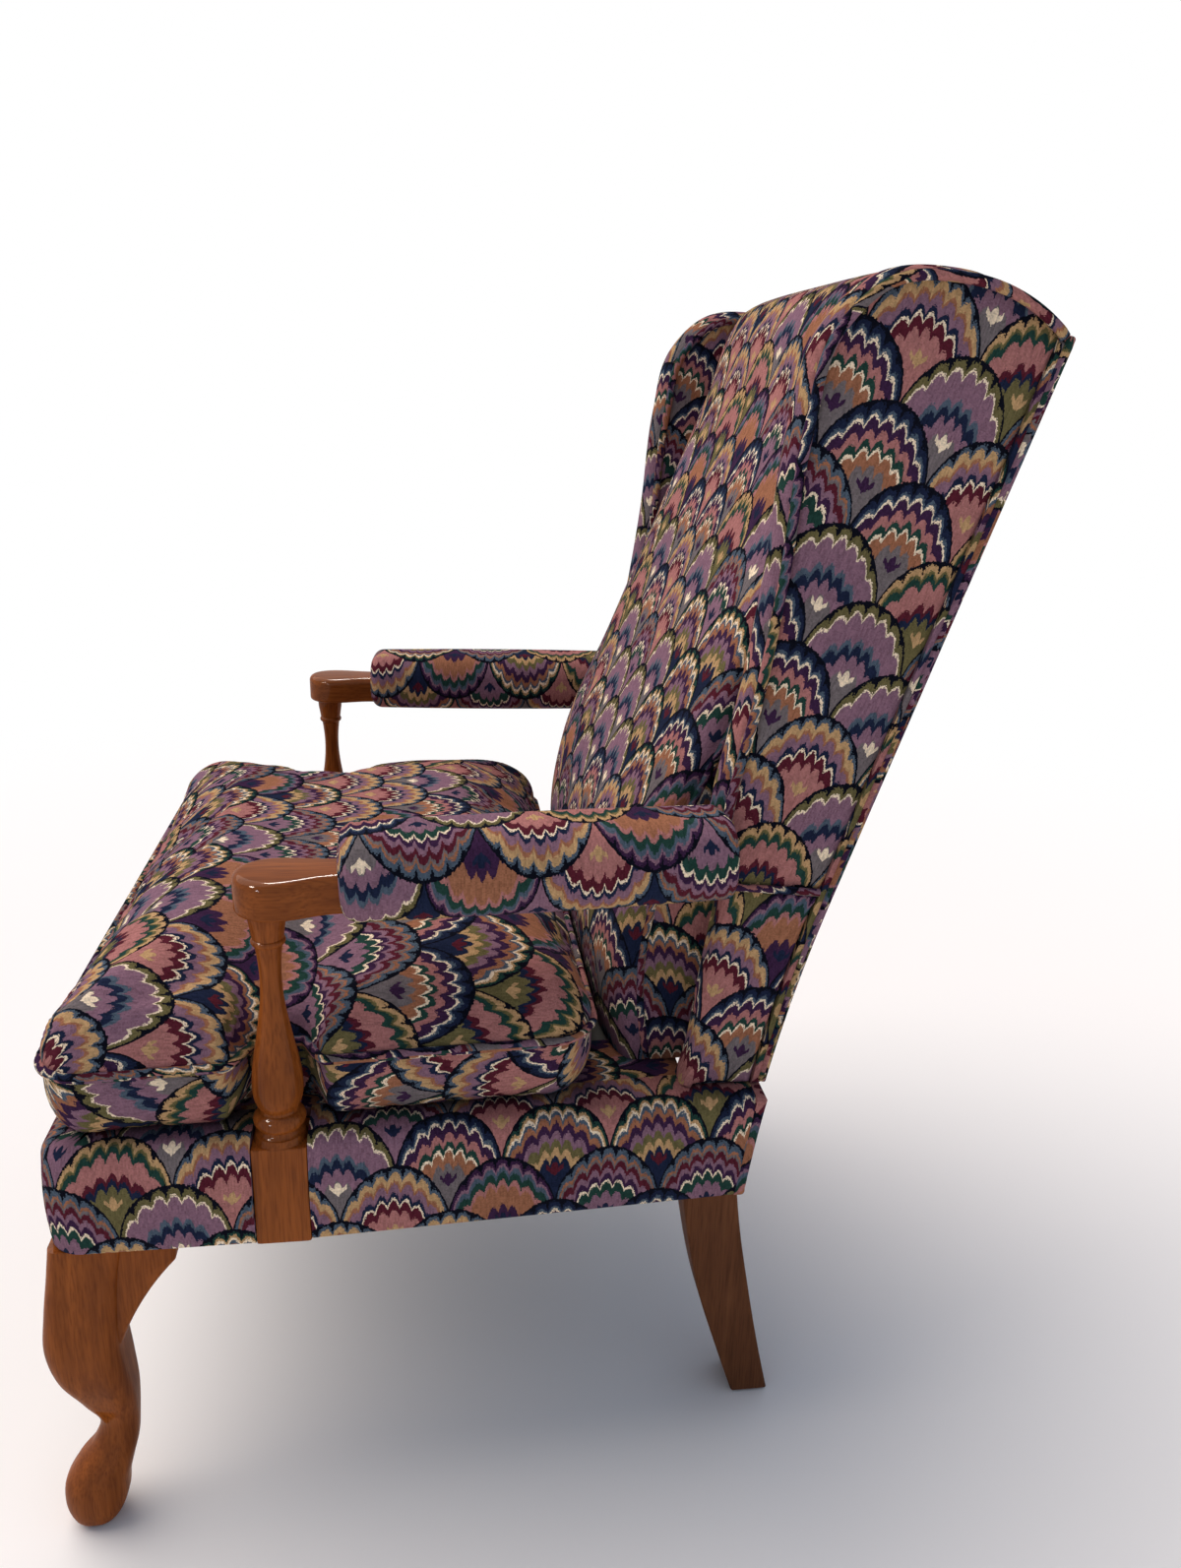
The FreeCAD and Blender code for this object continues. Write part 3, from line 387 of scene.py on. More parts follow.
def closed_sheets(across, ys, top, bottom):
    """Upper and lower sheet over the same rows, closed by a wall where their edges differ."""
    shape = across.shape
    y = np.broadcast_to(ys[:, None], shape)
    sheets = [np.stack([across, y, z], axis=2) for z in (top, bottom)]

    def rim(grid):
        return np.concatenate([grid[0], grid[1:, -1], grid[-1, -2::-1], grid[-2::-1, 0]])

    wall = np.stack([rim(sheet) for sheet in sheets])
    middle = (int(np.argmin(abs(ys - ys.mean()))), shape[1] // 2)
    grids = [(sheet, wrapped_cloth(sheet, *middle)) for sheet in sheets]
    if np.abs(wall[0] - wall[1]).max() > 1e-5:
        along = lengths(wall[0])
        height = np.abs(wall[0] - wall[1])[:, 2]
        wall_uv = np.stack([np.stack([along, fall], 1) for fall in (0 * along, -height)])
        grids.append((wall, wall_uv))
    return grids


# Lines that several pieces share

def seat_half(y):
    """Half width of the covered seat: constant to the arm posts, then tapering to the rear."""
    share = np.clip((y - POST_Y) / (SEAT_REAR - POST_Y), 0, None)
    return SEAT_HALF_FRONT + (SEAT_HALF_REAR - SEAT_HALF_FRONT) * share


def rear_y(z):
    """Depth of the outside back at a height: a parabola up to the bend, a straight rake above."""
    above = z - BACK_BEND[1]
    rise = BACK_BEND[1] - RAIL_FOOT
    bend = (BACK_RAKE * rise - (BACK_BEND[0] - SEAT_REAR)) / rise ** 2
    return BACK_BEND[0] + BACK_RAKE * above + np.where(above < 0, bend * above ** 2, 0.0)


# Front and top edge of the wing, from the arm to near the top of the back, as y and z
WING_EDGE = (
    (0.164, 0.572), (0.1675, 0.640), (0.185, 0.727),
    (0.200, 0.830), (0.211, 0.940), (0.2265, 1.004),
    (0.263, 1.039), (0.315, 1.0435), (0.360, 1.0315))
WING_TOP_REAR = 1.0075


def wing_front():
    """The wing's front and top edge, up to where it meets the outside back."""
    rear_top = (rear_y(WING_TOP_REAR) - BACK_THICK, WING_TOP_REAR)
    return smooth_run([*WING_EDGE, rear_top], 170)


def raked(points):
    """Cloth of the sides: up follows the rake of the back, across runs to the rear."""
    lean = math.atan(BACK_RAKE)
    y, z = points[..., 0], points[..., 1]
    return np.stack([
        y * math.cos(lean) - z * math.sin(lean), y * math.sin(lean) + z * math.cos(lean)], axis=-1)


# Materials

# Sockets of a Mix node that mixes colours
MIX_LOW, MIX_HIGH, MIX_RESULT = 6, 7, 2
WHITE = (1.0, 1.0, 1.0, 1.0)


def add_node(tree, kind, inputs=None, **settings):
    """Adds a node, sets it, and joins or fills its inputs."""
    node = tree.nodes.new(kind)
    for key, value in settings.items():
        setattr(node, key, value)
    for key, value in (inputs or {}).items():
        socket = node.inputs[key]
        if isinstance(value, bpy.types.NodeSocket):
            tree.links.new(value, socket)
        else:
            socket.default_value = value
    return node


def new_material(name):
    material = bpy.data.materials.new(name)
    material.use_nodes = True
    material.node_tree.nodes.clear()
    return material, material.node_tree


def finish_material(tree, **inputs):
    """Shader and output: inputs are named as the shader's sockets, with spaces as underscores."""
    shader = add_node(tree, "ShaderNodeBsdfPrincipled",
                      {key.replace("_", " "): value for key, value in inputs.items()})
    add_node(tree, "ShaderNodeOutputMaterial", {"Surface": shader.outputs[0]})


def work_out(tree, known, steps):
    """Adds one node of arithmetic for each step, which is a name, an operation and its terms."""
    for name, operation, *terms in steps:
        inputs = {i: known.get(term, term) for i, term in enumerate(terms)}
        known[name] = add_node(tree, "ShaderNodeMath", inputs, operation=operation).outputs[0]


# One fan of the flame-stitch, in fan widths across and rows up: its half width, which overlaps the
# next fan's a little, and how far its heart lies below its widest line
FAN_REACH = 0.5175
HEART_DROP = 0.35
# Flames to a band; how much of their fan's width they keep at its heart and gain towards its rim;
# how fast they grow with depth, and their most height
FLAMES = 7.0
FLAME_KEPT, FLAME_SPREAD = 0.6, 0.4
FLAME_GROWTH = 1.2
FLAME_HEIGHT = 0.17


def arch(name, side, height):
    """Steps for how deep a point lies in a fan, 0 at its rim and 1 at its heart. It is the mean of
    two measures: how far in the point is on an ellipse round the heart, and how far it lies
    straight below the rim. So the bands are wide at the top and thin at the sides."""
    return (
        (name + "_x", "DIVIDE", side, FAN_REACH),
        (name + "_xx", "MULTIPLY", name + "_x", name + "_x"),
        (name + "_raised", "ADD", height, HEART_DROP),
        (name + "_level", "DIVIDE", name + "_raised", 1 + HEART_DROP),
        (name + "_above", "MAXIMUM", name + "_level", 0.0),
        (name + "_far", "MULTIPLY_ADD", name + "_above", name + "_above", name + "_xx"),
        (name + "_out", "SQRT", name + "_far"),
        (name + "_left", "SUBTRACT", 1.0, name + "_xx"),
        (name + "_kept", "MAXIMUM", name + "_left", 0.0),
        (name + "_rim", "SQRT", name + "_kept"),
        (name + "_below", "SUBTRACT", name + "_rim", name + "_level"),
        (name + "_gain", "SUBTRACT", name + "_below", name + "_out"),
        (name, "MULTIPLY_ADD", name + "_gain", 0.5, 0.5),
    )


def flames(name, side, height, plain):
    """Steps that raise a point by the notch it lies in, a parabola between two rounded flames of a
    band. A fan's rim is smooth, and the flames grow inward from it."""
    return (
        (name + "_reach", "MULTIPLY_ADD", plain + "_out", FLAME_SPREAD, FLAME_KEPT),
        (name + "_turn", "DIVIDE", side, name + "_reach"),
        (name + "_steps", "MULTIPLY_ADD", name + "_turn", FLAMES, 0.5),
        (name + "_part", "FRACT", name + "_steps"),
        (name + "_off", "SUBTRACT", name + "_part", 0.5),
        (name + "_away", "ABSOLUTE", name + "_off"),
        (name + "_twice", "MULTIPLY", name + "_away", 2.0),
        (name + "_notch", "POWER", name + "_twice", 2.0),
        (name + "_inside", "MAXIMUM", plain, 0.0),
        (name + "_grown", "MULTIPLY", name + "_inside", FLAME_GROWTH),
        (name + "_most", "MINIMUM", name + "_grown", FLAME_HEIGHT),
        (name, "MULTIPLY_ADD", name + "_notch", name + "_most", height),
    )


# Cloth colours
INK = "#10121c"
NAVY = "#1e263d"
SLATE = "#4c5a68"
GREEN = "#233f38"
OLIVE = "#67603f"
PLUM = "#3a2440"
BURGUNDY = "#54202c"
MAUVE = "#826272"
ROSE = "#a56f6b"
RUST = "#98664c"
SAND = "#b8956a"
CREAM = "#ecd9bc"
STONE = "#6f6768"

# Each way of colouring a fan is a run of bands from its rim to its heart: a start and a colour
FAN_WAYS = (
    ((0.0, INK), (0.045, OLIVE), (0.13, CREAM), (0.165, MAUVE), (0.48, SLATE), (0.56, NAVY),
     (0.68, MAUVE), (0.86, STONE)),
    ((0.0, INK), (0.04, PLUM), (0.10, MAUVE), (0.15, SLATE), (0.23, GREEN), (0.34, ROSE),
     (0.42, RUST), (0.74, PLUM)),
    ((0.0, INK), (0.04, SLATE), (0.09, SAND), (0.20, RUST), (0.26, MAUVE), (0.38, NAVY),
     (0.46, CREAM), (0.50, BURGUNDY), (0.64, ROSE)),
    ((0.0, INK), (0.04, GREEN), (0.09, SAND), (0.14, CREAM), (0.18, SLATE), (0.24, RUST),
     (0.33, PLUM), (0.45, MAUVE), (0.56, OLIVE), (0.68, SAND), (0.80, NAVY)),
    ((0.0, INK), (0.04, SLATE), (0.11, RUST), (0.16, STONE), (0.21, BURGUNDY), (0.31, MAUVE),
     (0.40, PLUM), (0.50, CREAM), (0.54, GREEN), (0.68, MAUVE)),
    ((0.0, INK), (0.04, SAND), (0.12, OLIVE), (0.17, GREEN), (0.27, ROSE), (0.55, BURGUNDY),
     (0.64, NAVY), (0.72, OLIVE)),
    ((0.0, INK), (0.04, NAVY), (0.12, SLATE), (0.17, CREAM), (0.21, PLUM), (0.34, ROSE),
     (0.46, GREEN), (0.55, CREAM), (0.59, RUST), (0.75, STONE)),
)
HEART_COLOURS = (CREAM, NAVY, SAND, BURGUNDY, NAVY, SAND, PLUM)

# The flower in a heart, in millimetres: a bud's half width and half height, and two leaves that
# rise outwards from below its middle, with their half thickness and reach
BUD_HALF = (2.9, 6.0)
LEAF_DROP, LEAF_HALF, LEAF_REACH = 5.0, 2.2, 7.0
# The flower's middle, in rows below the fan's widest line
FLOWER_DROP = 0.33

# Unevenness of the weave: how far fans sway across and up with the pull of the cloth, how ragged
# the bands' edges are between stitches and between picks
SWAY_ACROSS, SWAY_UP = 0.10, 0.12
STITCH_RAGGED = 0.035
PICK_RAGGED = 0.03
# How much lighter or darker a stitch and a faded patch can be
YARN_DARKEST, YARN_CHANGE = 0.68, 0.30
FADE_DARKEST, FADE_CHANGE = 0.85, 0.30


def flame_stitch():
    """Woven flame-stitch tapestry, cotton and wool: matt and slightly ridged, each stitch a short
    column, so that the edges of the coloured bands are ragged."""
    sizes = bpy.context.scene.chair_cloth
    material, tree = new_material("flame_stitch_tapestry")
    laid = add_node(tree, "ShaderNodeUVMap", uv_map="cloth")
    parts = add_node(tree, "ShaderNodeSeparateXYZ", {0: laid.outputs[0]})
    known = {"u": parts.outputs[0], "v": parts.outputs[1]}
    work_out(tree, known, (
        ("column_place", "DIVIDE", "u", sizes.stitch),
        ("column", "FLOOR", "column_place"),
        ("strand_place", "DIVIDE", "v", 4 * sizes.stitch),
        ("strand", "FLOOR", "strand_place"),
        ("pick_place", "DIVIDE", "v", 0.8 * sizes.stitch),
        ("pick_row", "FLOOR", "pick_place"),
    ))
    cell = add_node(tree, "ShaderNodeCombineXYZ", {0: known["column"], 1: known["strand"]})
    ragged = add_node(tree, "ShaderNodeTexWhiteNoise", {"Vector": cell.outputs[0]},
                      noise_dimensions="2D")
    dot = add_node(tree, "ShaderNodeCombineXYZ", {0: known["column"], 1: known["pick_row"]})
    speck = add_node(tree, "ShaderNodeTexWhiteNoise", {"Vector": dot.outputs[0]},
                     noise_dimensions="2D")
    known["speck"] = speck.outputs["Value"]
    drift = add_node(tree, "ShaderNodeTexNoise", {
        "Vector": laid.outputs[0], "Scale": 14.0, "Detail": 1.0})
    known["ragged"] = ragged.outputs["Value"]
    known["drift"] = drift.outputs[0]
    work_out(tree, known, (
        ("across_exact", "DIVIDE", "u", sizes.fan_width),
        ("sway", "SUBTRACT", "drift", 0.5),
        ("across", "MULTIPLY_ADD", "sway", SWAY_ACROSS, "across_exact"),
        ("up_exact", "DIVIDE", "v", sizes.fan_height),
        ("jitter", "SUBTRACT", "ragged", 0.5),
        ("up_swayed", "MULTIPLY_ADD", "sway", SWAY_UP, "up_exact"),
        ("up", "MULTIPLY_ADD", "jitter", STITCH_RAGGED, "up_swayed"),
        ("row", "FLOOR", "up"),
        ("rise", "SUBTRACT", "up", "row"),
        ("odd", "FLOORED_MODULO", "row", 2.0),
        ("shift", "MULTIPLY", "odd", 0.5),
        ("place", "ADD", "across", "shift"),
        ("fan", "FLOOR", "place"),
        ("part", "SUBTRACT", "place", "fan"),
        ("side", "SUBTRACT", "part", 0.5),
        ("shift_behind", "SUBTRACT", 0.5, "shift"),
        ("place_behind", "ADD", "across", "shift_behind"),
        ("fan_behind", "FLOOR", "place_behind"),
        ("part_behind", "SUBTRACT", "place_behind", "fan_behind"),
        ("side_behind", "SUBTRACT", "part_behind", 0.5),
        ("height_behind", "SUBTRACT", "rise", 1.0),
    ) + arch("near_plain", "side", "rise") + flames("near_height", "side", "rise", "near_plain")
      + arch("near", "side", "near_height")
      + arch("far_plain", "side_behind", "height_behind")
      + flames("far_height", "side_behind", "height_behind", "far_plain")
      + arch("far", "side_behind", "far_height") + (
        ("in_front", "GREATER_THAN", "near", 0.0),
        ("behind", "SUBTRACT", 1.0, "in_front"),
        ("depth_change", "SUBTRACT", "far", "near"),
        ("depth_plain", "MULTIPLY_ADD", "behind", "depth_change", "near"),
        ("fan_change", "SUBTRACT", "fan_behind", "fan"),
        ("own_fan", "MULTIPLY_ADD", "behind", "fan_change", "fan"),
        ("own_row", "ADD", "row", "behind"),
        ("speck_mid", "SUBTRACT", "speck", 0.5),
        ("depth_speckled", "MULTIPLY_ADD", "speck_mid", PICK_RAGGED, "depth_plain"),
        ("depth", "MAXIMUM", "depth_speckled", 0.0),
        # The flower in the heart: a bud and two slanted leaves
        ("heart_x", "MULTIPLY", "side_behind", sizes.fan_width / MM),
        ("heart_side", "ABSOLUTE", "heart_x"),
        ("heart_high", "ADD", "height_behind", FLOWER_DROP),
        ("heart_y", "MULTIPLY", "heart_high", sizes.fan_height / MM),
        ("leaf_line", "MULTIPLY_ADD", "heart_side", -1.0, "heart_y"),
        ("leaf_mid", "ADD", "leaf_line", LEAF_DROP),
        ("leaf_off", "ABSOLUTE", "leaf_mid"),
        ("leaf_thick", "LESS_THAN", "leaf_off", LEAF_HALF),
        ("leaf_short", "LESS_THAN", "heart_side", LEAF_REACH),
        ("leaf", "MULTIPLY", "leaf_thick", "leaf_short"),
        ("bud_x", "DIVIDE", "heart_x", BUD_HALF[0]),
        ("bud_y", "DIVIDE", "heart_y", BUD_HALF[1]),
        ("bud_xx", "MULTIPLY", "bud_x", "bud_x"),
        ("bud_far", "MULTIPLY_ADD", "bud_y", "bud_y", "bud_xx"),
        ("bud", "LESS_THAN", "bud_far", 1.0),
        ("flower", "MAXIMUM", "leaf", "bud"),
        ("heart", "MULTIPLY", "flower", "behind"),
    ))
    own = add_node(tree, "ShaderNodeCombineXYZ", {0: known["own_fan"], 1: known["own_row"]})
    lot = add_node(tree, "ShaderNodeTexWhiteNoise", {"Vector": own.outputs[0]},
                   noise_dimensions="2D")
    known["lot"] = lot.outputs["Value"]
    colour = None
    for number, (bands, heart) in enumerate(zip(FAN_WAYS, HEART_COLOURS)):
        ramp = add_node(tree, "ShaderNodeValToRGB", {"Fac": known["depth"]})
        ramp.color_ramp.interpolation = "CONSTANT"
        stops = ramp.color_ramp.elements
        stops[0].position, stops[0].color = bands[0][0], linear(bands[0][1])
        stops[1].position, stops[1].color = bands[-1][0], linear(bands[-1][1])
        for start, shade in bands[1:-1]:
            stops.new(start).color = linear(shade)
        way = add_node(tree, "ShaderNodeMix", {
            "Factor": known["heart"], MIX_LOW: ramp.outputs[0], MIX_HIGH: linear(heart)},
            data_type="RGBA").outputs[MIX_RESULT]
        if colour is None:
            colour = way
        else:
            chosen = add_node(tree, "ShaderNodeMath", {0: known["lot"], 1: number / len(FAN_WAYS)},
                              operation="GREATER_THAN")
            colour = add_node(tree, "ShaderNodeMix", {
                "Factor": chosen.outputs[0], MIX_LOW: colour, MIX_HIGH: way},
                data_type="RGBA").outputs[MIX_RESULT]
    # Yarn: each stitch is a little lighter or darker, and the cloth is soiled and faded in soft
    # patches
    faded = add_node(tree, "ShaderNodeTexNoise", {
        "Vector": laid.outputs[0], "Scale": 5.0, "Detail": 3.0})
    known["faded"] = faded.outputs[0]
    work_out(tree, known, (
        ("twist", "ADD", "ragged", "speck"),
        ("yarn", "MULTIPLY_ADD", "twist", YARN_CHANGE, YARN_DARKEST),
        ("fade", "MULTIPLY_ADD", "faded", FADE_CHANGE, FADE_DARKEST),
        ("tone", "MULTIPLY", "yarn", "fade"),
        ("thread", "FRACT", "column_place"),
        ("thread_mid", "SUBTRACT", "thread", 0.5),
        ("thread_off", "ABSOLUTE", "thread_mid"),
        ("pick", "FRACT", "pick_place"),
        ("pick_mid", "SUBTRACT", "pick", 0.5),
        ("pick_off", "ABSOLUTE", "pick_mid"),
        ("weave", "MULTIPLY_ADD", "pick_off", 0.7, "thread_off"),
        ("relief", "MULTIPLY_ADD", "ragged", -0.5, "weave"),
    ))
    shade = add_node(tree, "ShaderNodeCombineColor", dict.fromkeys(range(3), known["tone"]))
    colour = add_node(tree, "ShaderNodeMix", {
        "Factor": 1.0, MIX_LOW: colour, MIX_HIGH: shade.outputs[0]},
        data_type="RGBA", blend_type="MULTIPLY").outputs[MIX_RESULT]
    bump = add_node(tree, "ShaderNodeBump", {
        "Strength": 0.55, "Distance": 0.0006, "Height": known["relief"]}, invert=True)
    finish_material(tree, Base_Color=colour, Roughness=0.9, Specular_IOR_Level=0.0,
                    Sheen_Weight=0.02, Sheen_Roughness=0.5, Normal=bump.outputs[0])
    return material


def grained_wood(name, dark, light, along, roughness, coat, pore_depth):
    """Hardwood: long streaks and short pores run along one axis, stretched to 1:20. Stain is darker
    in the pores; a coat gives the varnished pieces their gloss."""
    material, tree = new_material(name)
    place = add_node(tree, "ShaderNodeTexCoord")
    stretch = [1.0, 1.0, 1.0]
    stretch[along] = 0.05
    long_way = add_node(tree, "ShaderNodeMapping", {
        "Vector": place.outputs["Object"], "Scale": stretch})
    streak = add_node(tree, "ShaderNodeTexNoise", {
        "Vector": long_way.outputs[0], "Scale": 110.0, "Detail": 5.0, "Roughness": 0.55,
        "Distortion": 0.3})
    pore = add_node(tree, "ShaderNodeTexNoise", {
        "Vector": long_way.outputs[0], "Scale": 600.0, "Detail": 2.0})
    cloud = add_node(tree, "ShaderNodeTexNoise", {
        "Vector": place.outputs["Object"], "Scale": 11.0, "Detail": 2.0})
    known = {"streak": streak.outputs[0], "pore": pore.outputs[0], "cloud": cloud.outputs[0]}
    work_out(tree, known, (
        ("streak_wide", "MULTIPLY_ADD", "streak", 1.1, -0.35),
        ("pore_cut", "MULTIPLY_ADD", "pore", -2.0, 1.9),
        ("pore_kept", "MINIMUM", "pore_cut", 1.0),
        ("mixed", "MULTIPLY_ADD", "cloud", 0.75, "streak_wide"),
        ("figure", "MULTIPLY", "mixed", "pore_kept"),
        ("gloss", "MULTIPLY_ADD", "cloud", 0.10, roughness),
    ))
    colour = add_node(tree, "ShaderNodeMix", {
        "Factor": known["figure"], MIX_LOW: dark, MIX_HIGH: light},
        data_type="RGBA").outputs[MIX_RESULT]
    bump = add_node(tree, "ShaderNodeBump", {
        "Strength": 0.2, "Distance": pore_depth, "Height": known["pore_kept"]})
    finish_material(tree, Base_Color=colour, Roughness=known["gloss"], Specular_IOR_Level=0.0,
                    Coat_Weight=coat, Coat_Roughness=0.05, Coat_IOR=1.4, Normal=bump.outputs[0])
    return material


def plain_weave(name, colour, thread):
    """Plain woven cloth: warp and weft at a thread spacing, seen as a fine grid of shade."""
    material, tree = new_material(name)
    place = add_node(tree, "ShaderNodeTexCoord")
    parts = add_node(tree, "ShaderNodeSeparateXYZ", {0: place.outputs["Object"]})
    known = {"x": parts.outputs[0], "y": parts.outputs[1]}
    turn = 2 * math.pi / thread
    work_out(tree, known, (
        ("warp_turn", "MULTIPLY", "x", turn),
        ("warp", "SINE", "warp_turn"),
        ("weft_turn", "MULTIPLY", "y", turn),
        ("weft", "SINE", "weft_turn"),
        ("grid", "MULTIPLY", "warp", "weft"),
        ("tone", "MULTIPLY_ADD", "grid", 0.15, 0.5),
    ))
    sunken = tuple(0.6 * c for c in linear(colour)[:3]) + (1.0,)
    raised = tuple(min(1.0, 1.4 * c) for c in linear(colour)[:3]) + (1.0,)
    mixed = add_node(tree, "ShaderNodeMix", {
        "Factor": known["tone"], MIX_LOW: sunken, MIX_HIGH: raised},
        data_type="RGBA").outputs[MIX_RESULT]
    bump = add_node(tree, "ShaderNodeBump", {
        "Strength": 0.4, "Distance": 0.0003, "Height": known["grid"]})
    finish_material(tree, Base_Color=mixed, Roughness=0.9, Normal=bump.outputs[0])
    return material


def hard_finish(name, colour, metallic, roughness, scratch):
    """Small hardware: one colour, broken by fine scratches in its roughness and surface."""
    material, tree = new_material(name)
    place = add_node(tree, "ShaderNodeTexCoord")
    grit = add_node(tree, "ShaderNodeTexNoise", {
        "Vector": place.outputs["Object"], "Scale": scratch, "Detail": 4.0})
    rough = add_node(tree, "ShaderNodeMath", {0: grit.outputs[0], 1: 0.3, 2: roughness},
                     operation="MULTIPLY_ADD")
    bump = add_node(tree, "ShaderNodeBump", {
        "Strength": 0.2, "Distance": 0.0002, "Height": grit.outputs[0]})
    finish_material(tree, Base_Color=linear(colour), Metallic=metallic, Roughness=rough.outputs[0],
                    Normal=bump.outputs[0])
    return material


MATERIALS = {}
X_AXIS, Y_AXIS, Z_AXIS = range(3)


def finish_of(name):
    """Each finish is made once, when the first piece asks for it."""
    if name not in MATERIALS:
        stain = bpy.context.scene.chair_wood.stain
        deep = (0.26 * stain[0], 0.20 * stain[1], 0.18 * stain[2], 1.0)
        makers = {
            "cloth": flame_stitch,
            # Stained and varnished beech, rubbed to a gloss; grain along the piece
            "polished_y": lambda: grained_wood(
                "varnished_beech_along_arm", deep, tuple(stain), Y_AXIS,
                roughness=0.2, coat=0.30, pore_depth=0.00005),
            "polished_z": lambda: grained_wood(
                "varnished_beech_upright", deep, tuple(stain), Z_AXIS,
                roughness=0.2, coat=0.30, pore_depth=0.00005),
            # The rear legs have the same stain without the rubbed varnish
            "dull": lambda: grained_wood(
                "stained_beech_matt", linear("#44281a"), linear("#7c4f33"), Z_AXIS,
                roughness=0.4, coat=0.15, pore_depth=0.0001),
            # Sawn hardwood of the hidden frame
            "bare": lambda: grained_wood(
                "sawn_hardwood", linear("#a5835a"), linear("#cdb088"), X_AXIS,
                roughness=0.75, coat=0.0, pore_depth=0.0004),
            "steel": lambda: hard_finish(
                "zinc_plated_steel", "#9a9c9e", metallic=1.0, roughness=0.3, scratch=900.0),
            "nylon": lambda: hard_finish(
                "moulded_nylon", "#2a2825", metallic=0.0, roughness=0.4, scratch=400.0),
            "cambric": lambda: plain_weave("black_cambric", "#1c1c1d", thread=0.002),
            "webbing": lambda: plain_weave("jute_webbing", "#8d7350", thread=0.004),
            "deck": lambda: plain_weave("deck_ticking", "#3d3733", thread=0.0016),
        }
        MATERIALS[name] = makers[name]()
    return MATERIALS[name]


def covered(name, grids, replaced, body="frame", sharp=40, held=None):
    """Stuffed piece in the flame-stitch cloth, swelled by simulation if held says what stays."""
    mesh = mesh_of(name, grids, sharp)
    if held:
        stuff(mesh, held)
    piece = link(name, mesh, body, finish_of("cloth"), replaced)
    return piece


def welt(name, grids, body="frame"):
    """Covered cord in a seam."""
    return link(name, mesh_of(name, grids, 60), body, finish_of("cloth"))


# Loose seat cushion

CUSHION_CORNER = 0.042
CROWN_INSET = 0.130
UNDER_INSET = 0.030
CROWN_FULLNESS = 0.75
NOTCH_REACH = 0.0292
NOTCH_INNER = 0.3036
NOTCH_SOFT = 0.011
CUSHION_HALF_FRONT = 0.349
CUSHION_HALF_REAR = 0.324
# The air of the simulation lifts the crown by this much
AIR_RISE = 0.007
# Where the cushion has been sat in: depth, place along the seat, and reach across and along
SAT_DEPTH = 0.004
SAT_PLACE = -0.12
SAT_REACH = (0.16, 0.14)
# Soft waves in the top: height, waves across and along in radians per metre, and the sway of one by
# the other; they fade out towards the seam
WAVE_HEIGHT = 0.0008
WAVE_ACROSS, WAVE_ALONG, WAVE_SWAY = 61, 23, 5
WAVE_FADE = 0.05
# What the simulation holds: points this near the seam, and points this near the deck
HELD_AT_SEAM = 0.0003
HELD_AT_DECK = 0.0012
# The pattern of the underside is cut at another place
UNDER_CLOTH_SHIFT = 0.02


def cushion_rows():
    """Rows from front to rear: close together at the two ends and beside the arm posts."""
    front, rear = SEAT_BOX[0].y, SEAT_BOX[1].y
    end = CUSHION_CORNER * (1 - np.cos(np.linspace(0, math.pi / 2, 14)))
    beside = NOTCH_REACH + NOTCH_SOFT * np.linspace(-1, 1, 15)
    rows = np.concatenate([
        front + end, rear - end, np.linspace(front + CUSHION_CORNER, rear - CUSHION_CORNER, 55),
        POST_Y - beside, POST_Y + beside])
    rows = np.unique(np.round(rows, 5))
    return rows[np.concatenate([[True], np.diff(rows) > 0.0004])]


def cushion_half(y):
    """Half width of the seat cushion: tapering, round corners, notched round the arm posts."""
    front, rear = SEAT_BOX[0].y, SEAT_BOX[1].y
    half = lerp(CUSHION_HALF_FRONT, CUSHION_HALF_REAR, (y - front) / (rear - front))
    end = np.minimum(y - front, rear - y)
    inside = np.clip(CUSHION_CORNER - end, 0, CUSHION_CORNER)
    half = half - (CUSHION_CORNER - np.sqrt(CUSHION_CORNER ** 2 - inside ** 2))
    away = np.clip((np.abs(y - POST_Y) - NOTCH_REACH) / NOTCH_SOFT, -1, 1)
    notch = 0.5 - 0.25 * (3 * away - away ** 3)
    return lerp(half, np.minimum(half, NOTCH_INNER), notch)


def full_rise(distance, inset):
    """Share of the height at a distance in from the seam: sine against cosine, made fuller."""
    left = 1 - np.clip(distance / inset, 0, 1)
    turn = np.arccos(left ** (1 / CROWN_FULLNESS))
    return np.sin(turn) ** CROWN_FULLNESS


